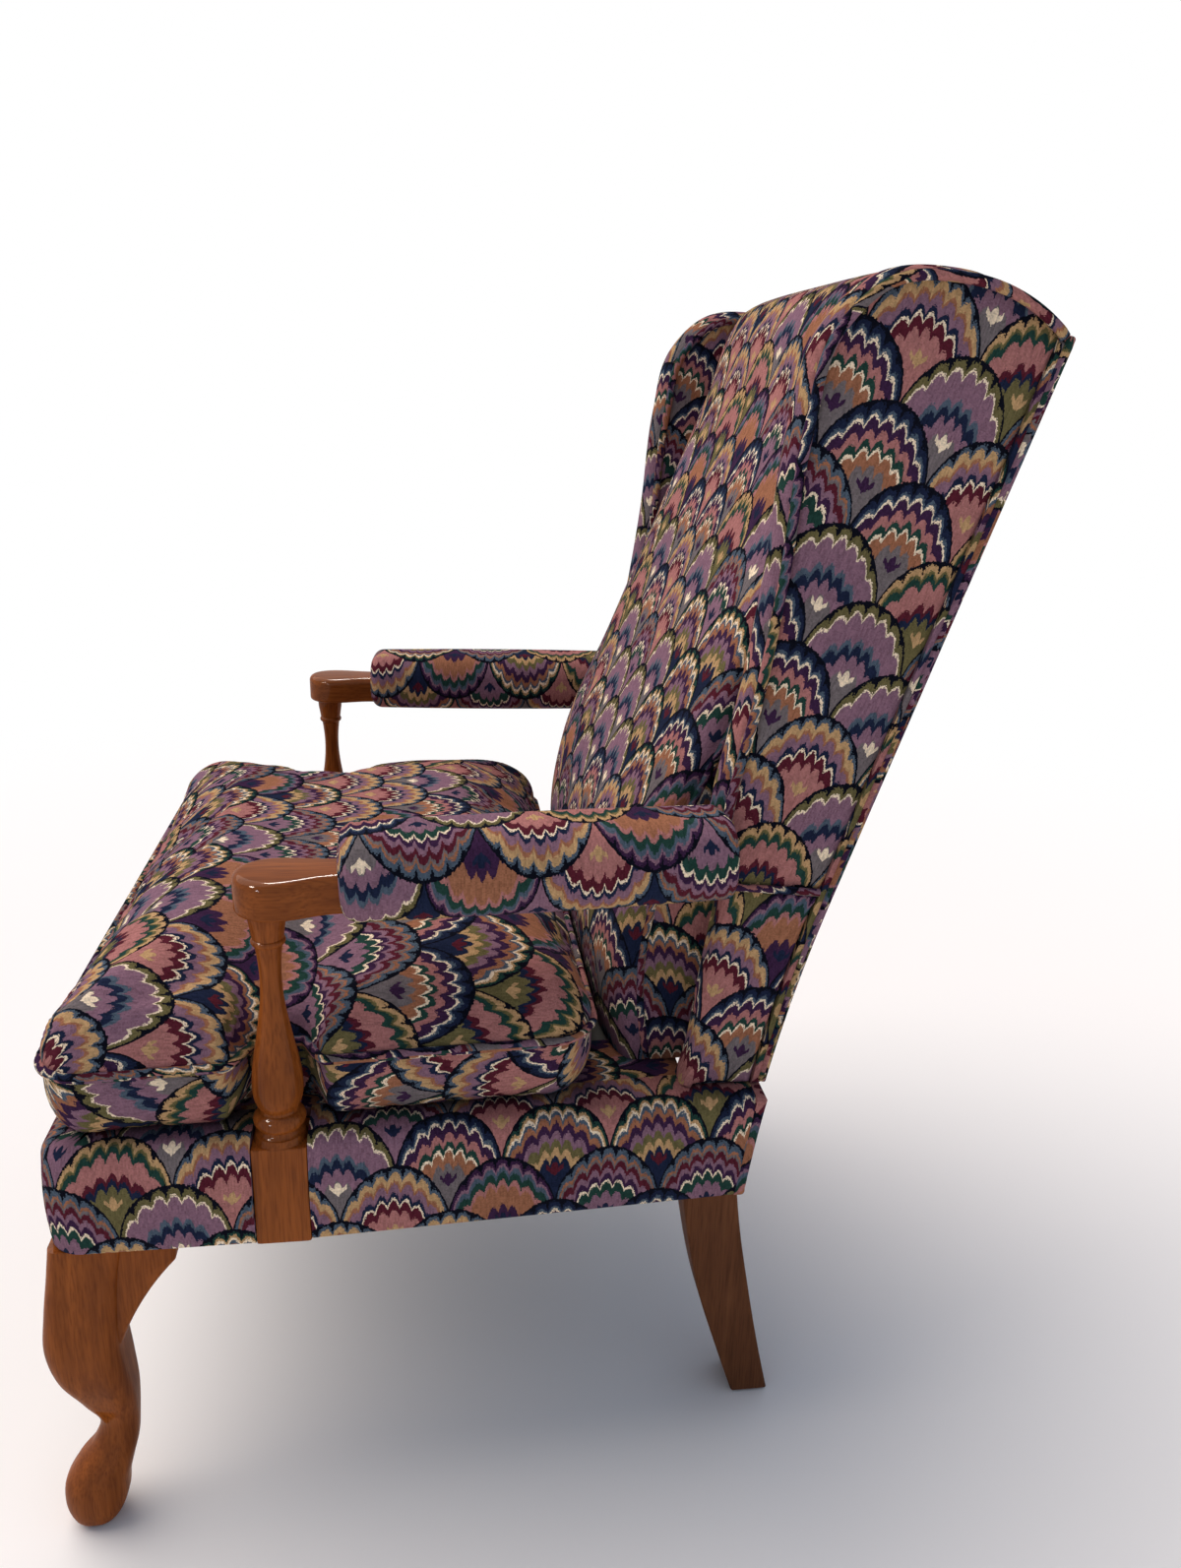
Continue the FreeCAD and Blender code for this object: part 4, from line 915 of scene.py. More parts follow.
class CHAIR_OT_seat_cushion(bpy.types.Operator):
    """Crowned T-shaped seat cushion, welted at half its height, notched round the posts"""
    bl_idname = "chair.seat_cushion"
    bl_label = "Seat cushion"

    def execute(self, context):
        sizes = context.scene.chair_cushion
        ys = cushion_rows()
        half = cushion_half(ys)
        share = np.linspace(-1, 1, 115)
        share = 0.45 * share + 0.55 * np.sin(share * math.pi / 2)
        across = half[:, None] * share
        outline = np.concatenate([np.stack([half, ys], 1), np.stack([-half, ys], 1)[::-1]])
        outline = np.vstack([outline, outline[:1]])
        rim = evened(outline, 900)
        y = np.broadcast_to(ys[:, None], across.shape)
        distance = distance_to(np.stack([across, y], axis=2), outline)
        distance[[0, -1]] = 0
        distance[:, [0, -1]] = 0
        seam = SEAT_BOX[0].z + sizes.welt_height
        sat = (across / SAT_REACH[0]) ** 2 + ((y - SAT_PLACE) / SAT_REACH[1]) ** 2
        dip = SAT_DEPTH * np.exp(-sat)
        wave = WAVE_HEIGHT * np.sin(across * WAVE_ACROSS + WAVE_SWAY * np.sin(y * WAVE_ALONG))
        wave = wave * np.clip(distance / WAVE_FADE, 0, 1)
        top = seam + (sizes.crown - AIR_RISE) * full_rise(distance, CROWN_INSET) - dip + wave
        bottom = seam - sizes.welt_height * full_rise(distance, UNDER_INSET)
        grids = closed_sheets(across, ys, top, bottom)
        under, under_cloth = grids[1]
        grids[1] = (under, under_cloth * np.array([1.0, -1.0]) + UNDER_CLOTH_SHIFT)
        low = SEAT_BOX[0].z + HELD_AT_DECK
        covered("seat_cushion_cover", grids, ["seat_cushion"], "seat_cushion", sharp=75,
                held=lambda at: (np.abs(at[:, 2] - seam) < HELD_AT_SEAM) | (at[:, 2] < low))
        path = np.column_stack([rim, np.full(len(rim), seam)])
        path[:, :2] += outward_of(rim) * 0.001
        radius = context.scene.chair_cloth.welt_radius
        welt("seat_cushion_welt", tube(path, radius, (0, 0, 1), closed=True), "seat_cushion")
        return {"FINISHED"}


# Back cushion

BACK_CUSHION_HALF = 0.2587
BACK_FOOT = (0.078, 0.3865)
BACK_FRONT = (
    # y, z, share of the draw-in and of the drop towards the ends
    (*BACK_FOOT, 1.0, 0.0), (0.0685, 0.474, 1.0, 0.0),
    (0.082, 0.560, 1.0, 0.0), (0.1385, 0.700, 1.0, 0.0),
    (0.196, 0.842, 1.0, 0.0), (0.247, 0.970, 1.0, 0.0),
    (0.268, 1.030, 0.85, 0.6), (0.285, 1.054, 0.6, 0.9),
    (0.314, 1.0645, 0.4, 1.0), (0.348, 1.058, 0.1, 0.85),
    (0.378, 1.038, 0.0, 0.5), (0.3945, 1.006, 0.0, 0.0))
BACK_DRAW_IN = 0.040
BACK_DROP = 0.022
BACK_FULLNESS = 0.5
# The stuffing ends below this height at the rear, where the cover runs on to the nape
BACK_HEEL = 0.985
# A welt's middle lies this far outside the stuffing's side, and this far before its face
BACK_WELT_OUT = 0.0025
BACK_WELT_AHEAD = 0.0015


def back_front(count):
    """Front and top of the back cushion from foot to nape, as y, z and the two shares."""
    rows = np.array(BACK_FRONT)
    line = smooth_run(rows[:, :2], count)
    known = lengths(rows[:, :2])
    along = np.linspace(0, known[-1], count)
    return line, np.interp(along, known, rows[:, 2]), np.interp(along, known, rows[:, 3])


class CHAIR_OT_back_cushion(bpy.types.Operator):
    """Stuffed inside back: lumbar swell, straight rake, rolled crest, boxed sides with welts"""
    bl_idname = "chair.back_cushion"
    bl_label = "Inside back"

    def execute(self, context):
        line, draw, drop = back_front(150)
        turn = np.linspace(-1, 1, 71) * math.pi / 2
        x = BACK_CUSHION_HALF * np.sign(turn) * np.abs(np.sin(turn)) ** BACK_FULLNESS
        x = np.interp(np.linspace(-1, 1, 101), np.linspace(-1, 1, 71), x)
        turn = np.arcsin(np.clip(np.abs(x) / BACK_CUSHION_HALF, 0, 1) ** (1 / BACK_FULLNESS))
        fall = 1 - np.clip(np.cos(turn), 0, 1) ** BACK_FULLNESS
        y = line[:, :1] + BACK_DRAW_IN * draw[:, None] * fall
        z = line[:, 1:] - BACK_DROP * drop[:, None] * fall
        front = np.stack([np.broadcast_to(x, y.shape), y, z], axis=2)
        low = SEAT_TOP + GAP
        heights = np.linspace(low, BACK_HEEL, 60)
        rear_line = np.stack([rear_y(heights) - CUSHION_REAR_INSET, heights], axis=1)
        heel = np.array([[rear_y(BACK_HEEL + GAP) - BACK_THICK, BACK_HEEL + GAP]])
        rear_line = evened(np.vstack([rear_line, heel, line[-1:]]), len(line))
        rear = np.stack([
            np.broadcast_to(x, y.shape), np.repeat(rear_line[:, :1], len(x), 1),
            np.repeat(rear_line[:, 1:], len(x), 1)], axis=2)
        foot = np.stack([front[0], rear[0]])
        grids = [(front, wrapped_cloth(front, 0, len(x) // 2)),
                 (rear, np.stack([rear[..., 0], rear[..., 2]], axis=2)),
                 (foot, foot[..., :2])]
        up = lengths(line)
        for end in (0, -1):
            share = np.linspace(0, 1, 8)[None, :, None]
            side = lerp(front[:, [end]], rear[:, [end]], share)
            cloth = np.stack([side[..., 1], np.repeat(up[:, None], 8, 1)], axis=2)
            grids.append((side, cloth))
        covered("inside_back_cover", grids, ["back_cushion"], sharp=70)
        radius = context.scene.chair_cloth.welt_radius
        for end, side in ((0, "right"), (-1, "left")):
            path = evened(front[:, end], 220)
            path[:, 0] *= 1 - (radius - BACK_WELT_OUT) / BACK_CUSHION_HALF
            path[:, 1] -= BACK_WELT_AHEAD
            path[:, 2] = np.maximum(path[:, 2], low + radius)
            welt("inside_back_welt_" + side, tube(path, radius * 0.9, (1, 0, 0)))
        return {"FINISHED"}


# Wings

# The band's swell comes and goes over these shares of the front edge, and its inner seam lies this
# much further in than the outer one
SWELL_START, SWELL_END = 0.02, 0.12
WING_SEAM_IN = 0.003
# The flat faces are domed a little, and pulled down steeply beside their seams
WING_DOME = 0.002
WING_SINK = 0.0045
SINK_STEEPNESS = 10
# A welt stands out of the band and off the flat face
WING_WELT_AHEAD = 0.0028
WING_WELT_OFF = 0.0004
# The wing's seam with the arm and the side panel below it, as y and z
ARM_SEAM = ((0.1645, 0.5755), (0.2470, 0.5672))


def wing_grids(swell):
    """Wing from the arm up: flat outer face, a padded band that swells between two seams as a sine,
    flat inner face."""
    run = wing_front()
    rear_inset = BACK_THICK + GAP
    rear_foot = np.array([[rear_y(WING_SEAM_REAR) - rear_inset, WING_SEAM_REAR]])
    rear = lerp(run[-1:], rear_foot, np.linspace(0, 1, 60)[1:, None])
    foot = lerp(rear_foot, run[:1], np.linspace(0, 1, 14)[1:, None])
    loop = np.vstack([run, rear, foot])
    outward = outward_of(loop)
    count = len(run)
    fade = np.zeros(len(loop))
    along = np.linspace(0, 1, count)
    fade[:count] = np.clip(along / SWELL_START, 0, 1)
    fade[:count] *= np.sqrt(np.clip((1 - along) / SWELL_END, 0, 1))
    fade[-1] = fade[0]
    half = (WING_OUTER - WING_INNER) / 2
    turn = np.linspace(0, math.pi, 17)[:, None]
    out = (swell * np.sin(turn) - WING_SEAM_IN * turn / math.pi) * fade
    band = loop + outward * out[..., None]
    x = WING_OUTER - WING_SINK - (half - WING_SINK) * (1 - np.cos(turn))
    x = np.broadcast_to(x, out.shape)
    band_points = np.concatenate([x[..., None], band], axis=2)
    walked = net_lengths(band_points, 0)
    band_cloth = np.stack([walked, np.broadcast_to(lengths(loop), walked.shape)], axis=2)
    grids = [(band_points, band_cloth)]
    share = np.linspace(0, 1, 16)[:, None, None]
    for edge, level, dome in ((band[0], WING_OUTER, 1), (band[-1], WING_INNER, -1)):
        centre = edge[:-1].mean(axis=0)
        flat = lerp(np.broadcast_to(centre, edge.shape), edge, share)
        height = WING_DOME * (1 - share ** 2) - WING_SINK * share ** SINK_STEEPNESS
        rise = level + dome * height * np.ones(edge.shape[0])[:, None]
        face = np.concatenate([rise, flat], axis=2)
        cloth = raked(flat)
        if level == WING_INNER:
            cloth = cloth * np.array([-1.0, 1.0])
        grids.append((face, cloth))
    return grids, band


class CHAIR_OT_wings(bpy.types.Operator):
    """Both wings above the arms, with welts along the outer and inner seam"""
    bl_idname = "chair.wings"
    bl_label = "Wings"

    def execute(self, context):
        grids, band = wing_grids(context.scene.chair_cushion.wing_swell)
        radius = context.scene.chair_cloth.welt_radius
        count = len(wing_front())
        proud = outward_of(np.vstack([band[0], band[0][:1]]))[:count] * WING_WELT_AHEAD
        outer = np.column_stack([
            np.full(count, WING_OUTER + WING_WELT_OFF), band[0][:count] + proud])
        inner = np.column_stack([
            np.full(count, WING_INNER - WING_WELT_OFF), band[-1][:count] + proud])
        seam = np.array([(WING_OUTER - 0.0005, y, z) for y, z in ARM_SEAM])
        welts = {
            "outer": tube(evened(outer, 240), radius, (1, 0, 0)),
            "inner": tube(evened(inner, 240), radius, (1, 0, 0)),
            "seam": tube(evened(seam, 24), radius * 0.8, (1, 0, 0)),
        }
        for side in SIDES:
            covered("wing_cover_" + side, on_side(side, grids),
                    ["wing_panel_" + side, "wing_pad_" + side], sharp=55)
            for where, cord in welts.items():
                welt(f"wing_welt_{where}_{side}", on_side(side, cord))
        return {"FINISHED"}


# Side panels below the arms

# Front edge from the seat rail up, as y and z
SIDE_PANEL_FOOT = 0.137
SIDE_PANEL_FRONT = ((0.147, 0.430), (0.1525, 0.475), (0.159, 0.520), (0.164, 0.560),
                    (0.164, 0.5755))
SIDE_PANEL_THICK = 0.0277


class CHAIR_OT_side_panels(bpy.types.Operator):
    """Closed sides between the arms and the seat rail"""
    bl_idname = "chair.side_panels"
    bl_label = "Side panels"

    def execute(self, context):
        low = SEAT_TOP + GAP
        front = smooth_run([(SIDE_PANEL_FOOT, low), *SIDE_PANEL_FRONT], 60)
        heights = np.linspace(WING_SEAM_REAR - 2 * GAP, low, 40)
        rear = np.stack([rear_y(heights) - BACK_THICK - GAP, heights], 1)
        loop = closed_loop(np.vstack([front, rear]), 240)

        def place(points, depth):
            return np.concatenate([(WING_OUTER - depth)[..., None], points], axis=-1)

        grids = plate(loop, place, raked, thick=SIDE_PANEL_THICK, roll=0.008, dome=0.002)
        for side in SIDES:
            covered("side_panel_cover_" + side, on_side(side, grids), ["side_panel_" + side])
        return {"FINISHED"}


# Covers of the seat rails

RAIL_SWELL = 0.0025
# Shift of the pattern on the rails, up and along the sides
RAIL_CLOTH_UP = 0.012
RAIL_CLOTH_ALONG = 0.021


def rail_profile():
    """Section of a rail's cover as inset and height: face that swells as a sine, rolled top edge,
    lip on the rail, back of the padding."""
    turn = np.linspace(0, math.pi / 2, 9)
    roll = np.stack([RAIL_ROLL * (1 - np.cos(turn)), SEAT_TOP - RAIL_ROLL * (1 - np.sin(turn))], 1)
    rail_top = SEAT_TOP - RAIL_LIP
    face = np.stack([np.full(12, 0.0), np.linspace(RAIL_FOOT + 0.003, SEAT_TOP - RAIL_ROLL, 12)], 1)
    face[1:-1, 0] -= RAIL_SWELL * np.sin(np.linspace(0, math.pi, 12))[1:-1]
    return np.vstack([
        [(RAIL_PADDING, RAIL_FOOT), (0.003, RAIL_FOOT), (0.001, RAIL_FOOT + 0.001)], face, roll[1:],
        [(RAIL_INNER - 0.002, SEAT_TOP), (RAIL_INNER, SEAT_TOP - 0.002), (RAIL_INNER, rail_top),
         (RAIL_PADDING, rail_top), (RAIL_PADDING, RAIL_FOOT)]])


def front_plan(inset):
    """Plan of the front rail's cover at an inset: side, rounded corner, front, corner, side."""
    rear = POST_Y - POST_HALF - GAP
    centre = np.array([SEAT_HALF_FRONT - SEAT_CORNER, SEAT_FRONT + SEAT_CORNER])
    turn = np.linspace(0, math.pi / 2, 13)
    arc = np.stack([np.cos(turn), -np.sin(turn)], 1)
    reach = SEAT_CORNER - inset
    corner = centre + reach * (arc if reach > 0 else np.array([[1.0, -1.0]]))
    corner = np.broadcast_to(corner, (13, 2))
    side = np.stack([np.full(14, SEAT_HALF_FRONT - inset), np.linspace(rear, centre[1], 14)], 1)
    side[-1] = corner[0]
    across = np.linspace(1, -1, 41)[1:-1]
    front = np.stack([corner[-1, 0] * across, np.full(39, SEAT_FRONT + inset)], 1)
    far = np.array([-1.0, 1.0])
    return np.vstack([side[:-1], corner, front, corner[::-1] * far, side[-2::-1] * far])


def with_ends(grid, cloth):
    """A swept section closed at its two ends by flat caps."""
    grids = [(grid, cloth)]
    for end in (0, -1):
        section = grid[:, end]
        centre = section.mean(axis=0)
        cap = np.stack([np.broadcast_to(centre, section.shape), section])
        grids.append((cap, cap[..., 1:]))
    return grids


class CHAIR_OT_rail_covers(bpy.types.Operator):
    """Stuffed covers of the front, side and rear seat rails"""
    bl_idname = "chair.rail_covers"
    bl_label = "Seat rail covers"

    def execute(self, context):
        profile = rail_profile()
        up = lengths(profile)
        outline = front_plan(0.0)
        grid = np.stack([
            np.column_stack([front_plan(inset), np.full(len(outline), z)]) for inset, z in profile])
        along = lengths(outline)
        middle = along[-1] / 2
        cloth = np.stack(np.meshgrid(along - middle, up + RAIL_CLOTH_UP), axis=2)
        covered("front_rail_cover_sewn", with_ends(grid, cloth), ["front_rail_cover"], sharp=50)

        front = POST_Y + POST_HALF + GAP
        share = np.linspace(0, 1, 40)
        rear = rear_y(profile[:, 1]) - BACK_THICK - GAP
        y = lerp(front, rear[:, None], share)
        x = seat_half(y) - profile[:, :1]
        grid = np.stack([x, y, np.broadcast_to(profile[:, 1:], y.shape)], axis=2)
        cloth = np.stack([
            y + RAIL_CLOTH_ALONG, np.broadcast_to(up[:, None] + RAIL_CLOTH_UP, y.shape)], axis=2)
        grids = with_ends(grid, cloth)
        for side in SIDES:
            covered("side_rail_cover_sewn_" + side, on_side(side, grids),
                    ["side_rail_cover_" + side], sharp=50)

        half = SEAT_HALF_REAR
        loop = closed_loop(np.array([
            (-half, RAIL_FOOT), (half, RAIL_FOOT), (half, SEAT_TOP), (-half, SEAT_TOP)]), 360)
        grids = plate(loop, back_place, back_cloth, face_rings=10,
                      thick=BACK_THICK, roll=BACK_EDGE_ROLL, dome=0.0015)
        covered("rear_rail_cover_sewn", grids, ["rear_rail_cover"])
        return {"FINISHED"}


BACK_EDGE_ROLL = 0.004


def back_place(points, depth):
    """A point of the outside back, given as x and z, set in from the rear face by its depth."""
    return np.stack([points[..., 0], rear_y(points[..., 1]) - depth, points[..., 1]], axis=-1)


def back_cloth(points):
    return points * np.array([-1.0, 1.0])


class CHAIR_OT_outside_back(bpy.types.Operator):
    """Outside back from the seat rail to the crest, with a welt round its edge"""
    bl_idname = "chair.outside_back"
    bl_label = "Outside back"

    def execute(self, context):
        low = SEAT_TOP + GAP
        loop = closed_loop(np.array([
            (-BACK_HALF, low), (BACK_HALF, low),
            (BACK_HALF, BACK_TOP), (-BACK_HALF, BACK_TOP)]), 480)
        grids = plate(loop, back_place, back_cloth, face_rings=40,
                      thick=BACK_THICK, roll=BACK_EDGE_ROLL, dome=0.003)
        covered("outside_back_cover", grids, ["back_panel"])
        foot = low + BACK_EDGE_ROLL
        edge = np.array([(-1, foot), (-1, BACK_TOP), (1, BACK_TOP), (1, foot)])
        edge = evened(edge * np.array([BACK_HALF - 0.001, 1.0]), 400)
        path = back_place(edge, np.full(len(edge), 0.0015))
        radius = context.scene.chair_cloth.welt_radius
        welt("outside_back_welt", tube(path, radius * 0.9, (0, 1, 0)))
        return {"FINISHED"}


# Arms, their pads and posts

def on_arm(points):
    """Turns an arm, drawn along its own middle line, in towards the back and onto its post."""
    c, s = math.cos(ARM_TURN_IN), math.sin(ARM_TURN_IN)
    x, y, z = points[..., 0], points[..., 1], points[..., 2]
    return np.stack([POST_X + c * x - s * y, POST_Y + s * x + c * y, z], axis=-1)


# Stuffed pad: half width, lowest and highest place, corner radius, and how its ends roll over
PAD_HALF = 0.043
PAD_LOW, PAD_HIGH = 0.573, 0.641
PAD_CORNER = 0.029
PAD_FRONT_ROLL, PAD_REAR_ROLL = 0.013, 0.006
PAD_FRONT_BULGE = 0.002
PAD_SWELL = 0.0015
# The front end is flat out to this share of its section
PAD_FLAT = 0.70


def pad_grids():
    """Stuffed pad round the arm: a rounded oblong carried along it, rolled over at both ends."""
    low, high, radius = PAD_LOW, PAD_HIGH, PAD_CORNER
    turn = np.linspace(0, math.pi / 2, 12)
    quarter = np.stack([np.sin(turn), -np.cos(turn)], 1)
    corners = []
    for sx, sz in ((-1, -1), (-1, 1), (1, 1), (1, -1)):
        arc = quarter if sx * sz > 0 else quarter[::-1]
        corners.append(np.stack([
            sx * (PAD_HALF - radius + radius * arc[:, 0]),
            (low if sz < 0 else high) - sz * radius + sz * radius * -arc[:, 1]], 1))
    section = evened(np.vstack([[(0.0, low)]] + corners + [[(0.0, low)]]), 97)
    centre = np.array([0.0, (low + high) / 2])
    front = (PAD_FRONT - POST_Y) / math.cos(ARM_TURN_IN)
    rear = (PAD_REAR - POST_Y) / math.cos(ARM_TURN_IN)
    roll, tuck = PAD_FRONT_ROLL, PAD_REAR_ROLL
    bend = np.linspace(0, math.pi / 2, 7)
    # Each row is a place along the arm, a share of the section, and an inset from it
    rows = [(front - PAD_FRONT_BULGE * (1 - share ** 2), share * PAD_FLAT, 0)
            for share in np.linspace(0, 1, 6)[:-1]]
    rows += [(front + roll * (1 - math.cos(t)), 1.0, roll * (1 - math.sin(t))) for t in bend]
    rows += [(y, 1.0, 0.0) for y in np.linspace(front + roll, rear - tuck, 60)[1:]]
    rows += [(rear - tuck + tuck * math.sin(t), 1.0, tuck * (1 - math.cos(t))) for t in bend[1:]]
    rows += [(rear, 0.0, 0.0)]
    reach = section - centre
    size = np.array([PAD_HALF, (high - low) / 2])
    grid = []
    for y, share, inset in rows:
        loop = centre + reach * share * (size - inset) / size
        swell = PAD_SWELL * math.sin(math.pi * np.clip((y - front) / (rear - front), 0, 1))
        loop = loop + swell * reach / np.linalg.norm(reach, axis=1)[:, None] * share
        grid.append(np.column_stack([loop[:, 0], np.full(len(loop), y), loop[:, 1]]))
    grid = np.stack(grid)
    up = lengths(section)
    walk = net_lengths(grid, 0)[:, [len(section) // 2]]
    cloth = np.stack(np.broadcast_arrays(-walk, up), axis=2)
    return [(on_arm(grid), cloth)]


# Wooden arm, along its middle line from the post: the paddle's radius and centre, the half width
# and the start of the straight run, how far its top is crowned, and the radius of its lower edge
PADDLE_RADIUS = 0.031
PADDLE_CENTRE = 0.007
WAIST_HALF = 0.0225
WAIST_START = 0.054
ARM_CROWN = 0.0012
ARM_LOWER_EDGE = 0.0035


def arm_grids(edge_round):
    """Wooden arm: round-ended paddle that narrows as a cosine to a straight run, its upper edge
    well rounded."""
    paddle, waist, middle = PADDLE_RADIUS, WAIST_HALF, PADDLE_CENTRE
    end = (PAD_REAR - 0.003 - POST_Y) / math.cos(ARM_TURN_IN)
    straight = WAIST_START + 0.004
    ys = np.concatenate([
        middle - paddle * np.cos(np.linspace(0, math.pi / 2, 24)),
        np.linspace(middle, straight, 26)[1:], np.linspace(straight, end, 50)[1:]])
    blend = np.clip((ys - middle) / (WAIST_START - middle), 0, 1)
    half = np.where(
        ys < middle, np.sqrt(np.clip(paddle ** 2 - (ys - middle) ** 2, 0, None)),
        waist + (paddle - waist) * (0.5 + 0.5 * np.cos(math.pi * blend)))
    share = np.sin(np.linspace(-1, 1, 61) * math.pi / 2)
    across = half[:, None] * share
    from_side = half[:, None] - np.abs(across)
    from_tip = paddle - np.sqrt(across ** 2 + np.clip(ys[:, None] - middle, None, 0) ** 2)
    distance = np.where(ys[:, None] < middle, from_tip, from_side)
    distance = np.clip(distance, 0, None)

    def rolled(radius):
        inside = np.clip(radius - distance, 0, radius)
        return radius - np.sqrt(np.clip(radius ** 2 - inside ** 2, 0, None))

    crown = ARM_CROWN * (1 - (across / paddle) ** 2)
    top = ARM_TOP - ARM_CROWN + crown - rolled(edge_round)
    bottom = ARM_BOTTOM + rolled(ARM_LOWER_EDGE)
    grids = closed_sheets(across, ys, top, bottom)
    return [(on_arm(grid), cloth) for grid, cloth in grids]


# Arm post in millimetres: the top and half width of its square block, and how square a section is,
# the power of its superellipse
BLOCK_TOP = 379.0
BLOCK_HALF = 22.2
SQUARE, ROUND = 26.0, 2.0
POST_TURNING = (
    # Runs of height and radius; a run is a smooth curve, and runs meet at a crisp edge
    ((BLOCK_TOP, BLOCK_HALF), (380.2, 21.6), (384.0, 20.0)),
    ((384.0, 20.0), (386.5, 17.0), (389.0, 16.4)),
    ((389.0, 16.4), (391.0, 19.0), (394.0, 20.7), (397.5, 20.9), (401.0, 19.3), (404.0, 15.6)),
    ((404.0, 15.6), (406.0, 15.0)),
    ((406.0, 15.0), (412.0, 18.2), (422.0, 20.2), (434.0, 20.0), (447.0, 18.5), (464.0, 15.4),
     (481.0, 12.4), (498.0, 9.9), (515.0, 8.6), (533.0, 8.9), (550.0, 10.8)),
    ((550.0, 10.8), (551.0, 12.4), (552.6, 13.3), (554.6, 13.3), (556.0, 12.2)),
    ((556.0, 12.2), (563.0, 13.2), (571.0, 14.4), (580.5, 14.6)),
)


def post_grids():
    """Arm post: square block with eased corners, then the turning. A section is a superellipse,
    nearly square in the block and a circle above it."""
    angle = np.linspace(0, 2 * math.pi, 97)
    foot = RAIL_FOOT / MM
    block = [(foot, 0.0), (foot, BLOCK_HALF - 0.4), (foot + 0.5, BLOCK_HALF), (330.0, BLOCK_HALF),
             (BLOCK_TOP - 0.8, BLOCK_HALF), (BLOCK_TOP, BLOCK_HALF - 0.6)]
    rows = [(z, radius, SQUARE) for z, radius in block]
    rows += [(BLOCK_TOP, BLOCK_HALF - 0.9, ROUND)]
    for run in POST_TURNING:
        rows += [(z, radius, ROUND) for z, radius in smooth_run(run, 4 * len(run))]
    top, _ = POST_TURNING[-1][-1]
    rows += [(top, 0.0, ROUND)]
    grid = []
    for z, radius, square in rows:
        shape = (np.abs(np.cos(angle)) ** square + np.abs(np.sin(angle)) ** square) ** (-1 / square)
        reach = MM * radius * shape
        grid.append(np.column_stack([
            POST_X + reach * np.cos(angle), POST_Y + reach * np.sin(angle),
            np.full(len(angle), MM * z)]))
    grid = np.stack(grid)
    return [(grid, grid[..., [0, 2]])]


class CHAIR_OT_arms(bpy.types.Operator):
    """Polished wooden arms on turned posts, with stuffed pads"""
    bl_idname = "chair.arms"
    bl_label = "Arms"

    def execute(self, context):
        arm = arm_grids(context.scene.chair_wood.arm_round)
        post = post_grids()
        pad = pad_grids()
        for side in SIDES:
            link("turned_post_" + side, mesh_of("turned_post", on_side(side, post), 30), "frame",
                 finish_of("polished_z"), ["arm_post_" + side])
            link("polished_arm_" + side, mesh_of("polished_arm", on_side(side, arm), 35), "frame",
                 finish_of("polished_y"), ["arm_" + side])
            covered("arm_pad_cover_" + side, on_side(side, pad, turned=True),
                    ["arm_pad_" + side], sharp=60)
        return {"FINISHED"}


# Legs

FRONT_LEG_ROWS = (
    # Height, front edge, rear edge and corner radius, in millimetres
    (3.0, -394.0, -366.0, 11.0), (9.0, -401.0, -359.0, 18.0), (24.0, -406.0, -353.0, 24.0),
    (40.0, -405.0, -351.0, 25.0), (56.0, -396.0, -347.0, 22.0), (76.0, -379.5, -342.0, 16.5),
    (96.0, -372.5, -340.0, 14.5), (125.0, -384.0, -339.0, 16.0), (158.0, -399.0, -341.5, 17.0),
    (190.0, -404.5, -343.5, 17.0), (225.0, -401.0, -341.0, 15.0), (260.0, -395.5, -337.0, 12.0),
    (290.0, -391.0, -332.0, 9.0))
# Height, front edge and rear edge, in millimetres
REAR_LEG_ROWS = ((3.0, 215.0, 252.0), (60.0, 196.0, 239.0), (125.0, 176.0, 226.0),
                 (205.0, 160.0, 212.0), (290.0, 150.0, 203.0))
REAR_LEG_SIDES = (220.0, 265.0)
REAR_LEG_CORNER = 3.0
LEG_OUTER = 349.0
# How much of a foot's reach to the front it also has to the side
LEG_SPLAY = 0.6
# Bracket beside the knee, as distance along the rail and height: its ends on the rail and the knee,
# and the hollow curve between them
EAR_TOP = ((-0.020, 0.290), (0.056, 0.290), (0.054, 0.269))
EAR_CURVE = ((0.054, 0.269), (0.038, 0.250), (0.022, 0.226), (0.010, 0.203), (0.004, 0.188))
EAR_FOOT = (-0.020, 0.184)
# Where a bracket starts along each rail, and its outer face there
EAR_START_X, EAR_START_Y = 0.272, -0.346
EAR_FACE_X, EAR_FACE_Y = 0.344, -0.385


def upright_leg(rows, sections):
    """Leg of level rounded oblongs: each row is height, x range, y range and corner radius."""
    angle = np.linspace(0, 2 * math.pi, 81)
    pull = np.stack([np.cos(angle), np.sin(angle)], 1)
    grid = []
    for z, x0, x1, y0, y1, radius in smooth_run(rows, sections):
        half = np.array([(x1 - x0) / 2, (y1 - y0) / 2])
        radius = min(radius, half.min() * 0.999)
        core = half - radius
        reach = np.sign(pull) * core * np.clip(np.abs(pull) * 40, 0, 1)
        section = np.array([(x0 + x1) / 2, (y0 + y1) / 2]) + reach + radius * pull
        grid.append(np.column_stack([section, np.full(len(angle), z)]) * MM)
    grid = np.stack(grid)
    foot, top = (np.broadcast_to(grid[[end]].mean(axis=1, keepdims=True), grid[[end]].shape)
                 for end in (0, -1))
    grid = np.concatenate([foot, grid, top])
    return [(grid, grid[..., [1, 2]])]


